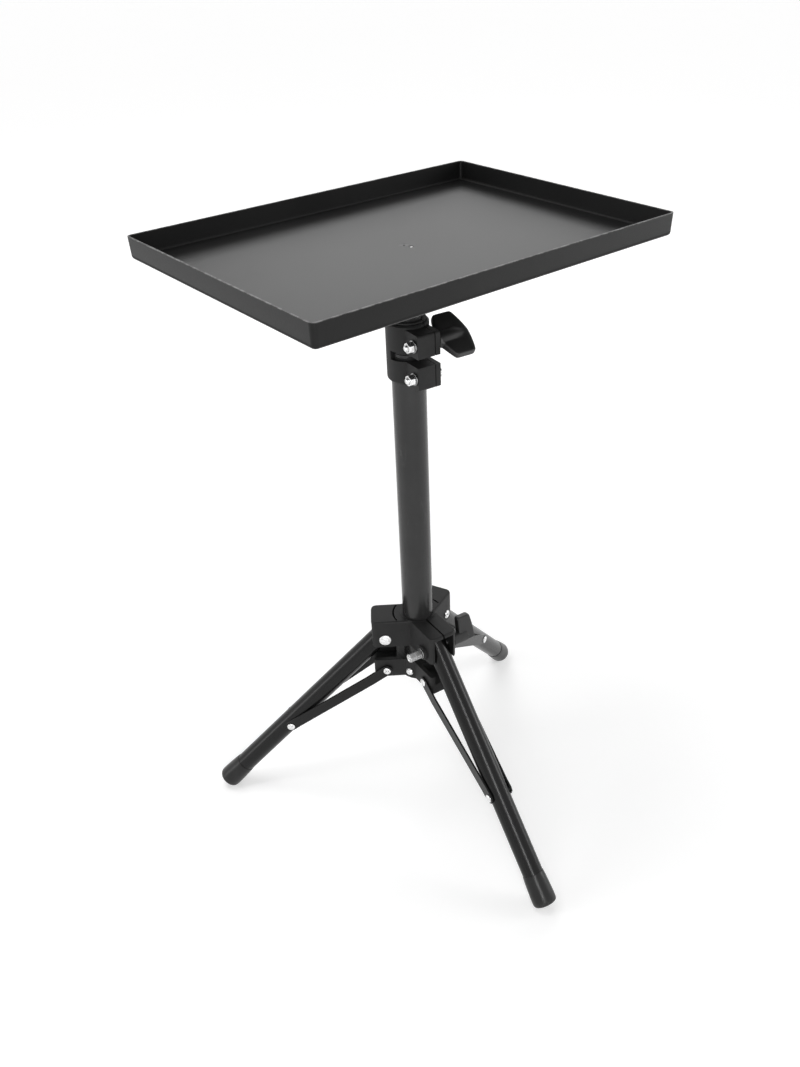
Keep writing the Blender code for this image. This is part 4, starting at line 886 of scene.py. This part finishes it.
def foot_profile():
    """A rubber foot that hugs the leg, swells to its end, and has three grooves round its tread."""
    end = -LEG_LENGTH
    edge = 0.1 * MM
    tread = []
    for radius in TREAD_RADII:
        tread += [(radius, end, edge), (radius - 0.4 * MM, end + TREAD_DEPTH, edge),
                  (radius - 1.0 * MM, end + TREAD_DEPTH, edge), (radius - 1.4 * MM, end, edge)]
    hug = LEG_RADIUS + FOOT_HUG
    mouth = end + FOOT_LENGTH
    return rounded([(0, end + FOOT_FLOOR, 0), (hug, end + FOOT_FLOOR, 0.5 * MM), (hug, mouth, 0.05 * MM),
                    (hug + 0.35 * MM, mouth, 0.2 * MM), (hug + 0.9 * MM, mouth - 5 * MM, 3 * MM),
                    (FOOT_RADIUS, end + 9 * MM, 4 * MM), (FOOT_RADIUS - 0.2 * MM, end, 4.4 * MM)]
                   + tread + [(0, end, 0)], 6)


def finish_brace(name):
    """One brace: its two bars, a rivet in each at the leg, and the rivet through the lower hub."""
    place = brace_place(name)
    gloss = leg_gloss("brace_gloss_" + name, place)
    seat = BRACE_RIVET_SHANK
    shank = rounded([(PIN_RADIUS, seat, 0), (PIN_RADIUS, 0, 0.2 * MM), (0, 0, 0), (0, seat, 0)])[:-1]
    rivet = np.concatenate((dome(RIVET_HEAD_RADIUS, seat), shank))
    for label, side, outwards in (("a", 1, ALONG_Y), ("b", -1, AGAINST_Y)):
        softened("brace_bar_%s_%s" % (name, label), gloss, 0.3 * MM)
        rivet_place = place @ shift(0, side * BRACE_RIVET_START, BRACE_LENGTH) @ outwards
        turned("brace_rivet_%s_%s" % (name, label), rivet, rivet_place, ZINC, RIVET_FACETS)
    across_rivet("spider_pivot_rivet_" + name, arm_place(name, BRACE_PIVOT_Z) @ AGAINST_Y,
                 BRACE_RIVET_GRIP, RIVET_HEAD_RADIUS, RIVET_HEAD_RADIUS)


def finish_kept_nodes():
    """The pieces whose CAD surface is shown as it is."""
    kept = [("post_guide", HUB)] + [("leg_cross_pin_" + name, ZINC) for name in LEG_NAMES]
    for node, finish in kept:
        for slot in frame["nodes"][node].material_slots:
            slot.material = finish


finish_tubes()
finish_foot_plug()
finish_column_mouldings()
finish_hub_rivets()
finish_collar_fasteners()
finish_crown()
finish_post_head()
softened("tray", ENAMEL, 0.45 * MM, 40, 3)
finish_key_pin()
finish_tray_screw()
for leg_name in LEG_NAMES:
    finish_leg(leg_name)
    finish_brace(leg_name)
finish_kept_nodes()


# Studio

AMBIENT = 0.45
SKY_OVERHEAD = 0.35
FLOOR_GLOW_NEAR = 0.34
FLOOR_GLOW_FAR = 0.70
FLOOR_REACH = 40.0
FLOOR_GAP = 0.2 * MM
STAND_MIDDLE = (0, 0, 0.2)

# The camera, fitted to the stand's corners in a photograph of this many pixels
PHOTO_WIDTH = 800
PHOTO_HEIGHT = 1067
FOCAL_PIXELS = 989.607
CENTRE_PIXEL = (424.10, 523.15)
SENSOR = 36
CAMERA_PLACE = (-0.52575, -0.67121, 0.73584)
CAMERA_YAW = 0.89471
CAMERA_PITCH = 0.56919
CAMERA_ROLL = -0.03114


def make_world():
    """A white sky: dimmer straight overhead, and dimmer as a light than for the rays that see it."""
    world = bpy.data.worlds.new("studio")
    bpy.context.scene.world = world
    world.use_nodes = True
    t = Tree(world.node_tree)
    sky = world.node_tree.nodes["Background"]
    sky.inputs["Color"].default_value = (1, 1, 1, 1)
    rise = t.up(t.node("ShaderNodeTexCoord", output="Generated"))
    overhead = t.band(rise, 0.55, 0.90, 1.0, SKY_OVERHEAD)
    t.fill(sky.inputs["Strength"], overhead * (t.background_rays() * (1 - AMBIENT) + AMBIENT))


def make_floor():
    """A wide pale floor under the feet. Its own faint glow for the camera keeps the backdrop white."""
    f = Finish("floor_paper", "floor")
    distance = f.node("ShaderNodeVectorMath", {"operation": "LENGTH"}, {0: f.place}, "Value")
    glow = f.background_rays() * f.band(distance, 0.35, 2.2, FLOOR_GLOW_NEAR, FLOOR_GLOW_FAR)
    f.surface(Base_Color=f.mixed(f.noise(3), grey(0.80), grey(0.82)), Roughness=0.95,
              Emission_Color=f.mixed(glow, grey(0.0), grey(1.0)), Emission_Strength=1.0)
    level = CAD_BOX[0].z - FLOOR_GAP
    mesh = bpy.data.meshes.new("studio_floor")
    corners = ((-1, -1), (1, -1), (1, 1), (-1, 1))
    mesh.from_pydata([(x * FLOOR_REACH, y * FLOOR_REACH, level) for x, y in corners], [], [(0, 1, 2, 3)])
    mesh.materials.append(f.material)
    floor = bpy.data.objects.new("studio_floor", mesh)
    bpy.context.scene.collection.objects.link(floor)


def make_lamp(name, position, aim, size, power):
    """A rectangular soft box at a position, turned to face a point. The power is in watts."""
    light = bpy.data.lights.new(name, "AREA")
    light.shape = "RECTANGLE"
    light.size, light.size_y = size
    light.energy = power
    lamp = bpy.data.objects.new(name, light)
    lamp.location = position
    lamp.rotation_euler = (Vector(position) - Vector(aim)).to_track_quat("Z", "Y").to_euler()
    bpy.context.scene.collection.objects.link(lamp)


def make_camera():
    """The photograph's viewpoint: forward from yaw and pitch, then right and up turned by the roll."""
    camera = bpy.data.cameras.new("photo_camera")
    camera.sensor_fit = "AUTO"
    camera.sensor_width = SENSOR
    camera.lens = FOCAL_PIXELS * SENSOR / PHOTO_HEIGHT
    camera.shift_x = (PHOTO_WIDTH / 2 - CENTRE_PIXEL[0]) / PHOTO_HEIGHT
    camera.shift_y = (CENTRE_PIXEL[1] - PHOTO_HEIGHT / 2) / PHOTO_HEIGHT
    camera.clip_start, camera.clip_end = 0.01, 50
    forward = Vector((math.cos(CAMERA_PITCH) * math.cos(CAMERA_YAW),
                      math.cos(CAMERA_PITCH) * math.sin(CAMERA_YAW), -math.sin(CAMERA_PITCH)))
    right = forward.cross(Vector((0, 0, 1))).normalized()
    up = right.cross(forward)
    rolled_right = math.cos(CAMERA_ROLL) * right + math.sin(CAMERA_ROLL) * up
    rolled_up = -math.sin(CAMERA_ROLL) * right + math.cos(CAMERA_ROLL) * up
    facing = Matrix((rolled_right, rolled_up, -forward)).transposed()
    holder = bpy.data.objects.new("photo_camera", camera)
    holder.matrix_world = Matrix.Translation(CAMERA_PLACE) @ facing.to_4x4()
    bpy.context.scene.collection.objects.link(holder)
    bpy.context.scene.camera = holder


make_world()
make_floor()
make_lamp("top_softbox", position=(-0.4, 0.5, 2.3), aim=STAND_MIDDLE, size=(1.4, 1.4), power=22)
make_lamp("tray_softbox", position=(1.30, 1.62, 1.48), aim=(0, 0, 0.47), size=(1.5, 0.7), power=8.5)
make_lamp("leg_strip", position=(-0.80, -1.28, 0.74), aim=(-0.02, -0.14, -0.06), size=(0.20, 0.9), power=9)
make_lamp("right_strip", position=(1.5, -1.0, 0.7), aim=STAND_MIDDLE, size=(0.4, 1.4), power=10)
make_lamp("left_strip", position=(-1.6, 0.7, 0.6), aim=STAND_MIDDLE, size=(0.3, 1.4), power=6)
make_camera()
bpy.context.scene.view_settings.view_transform = "Standard"
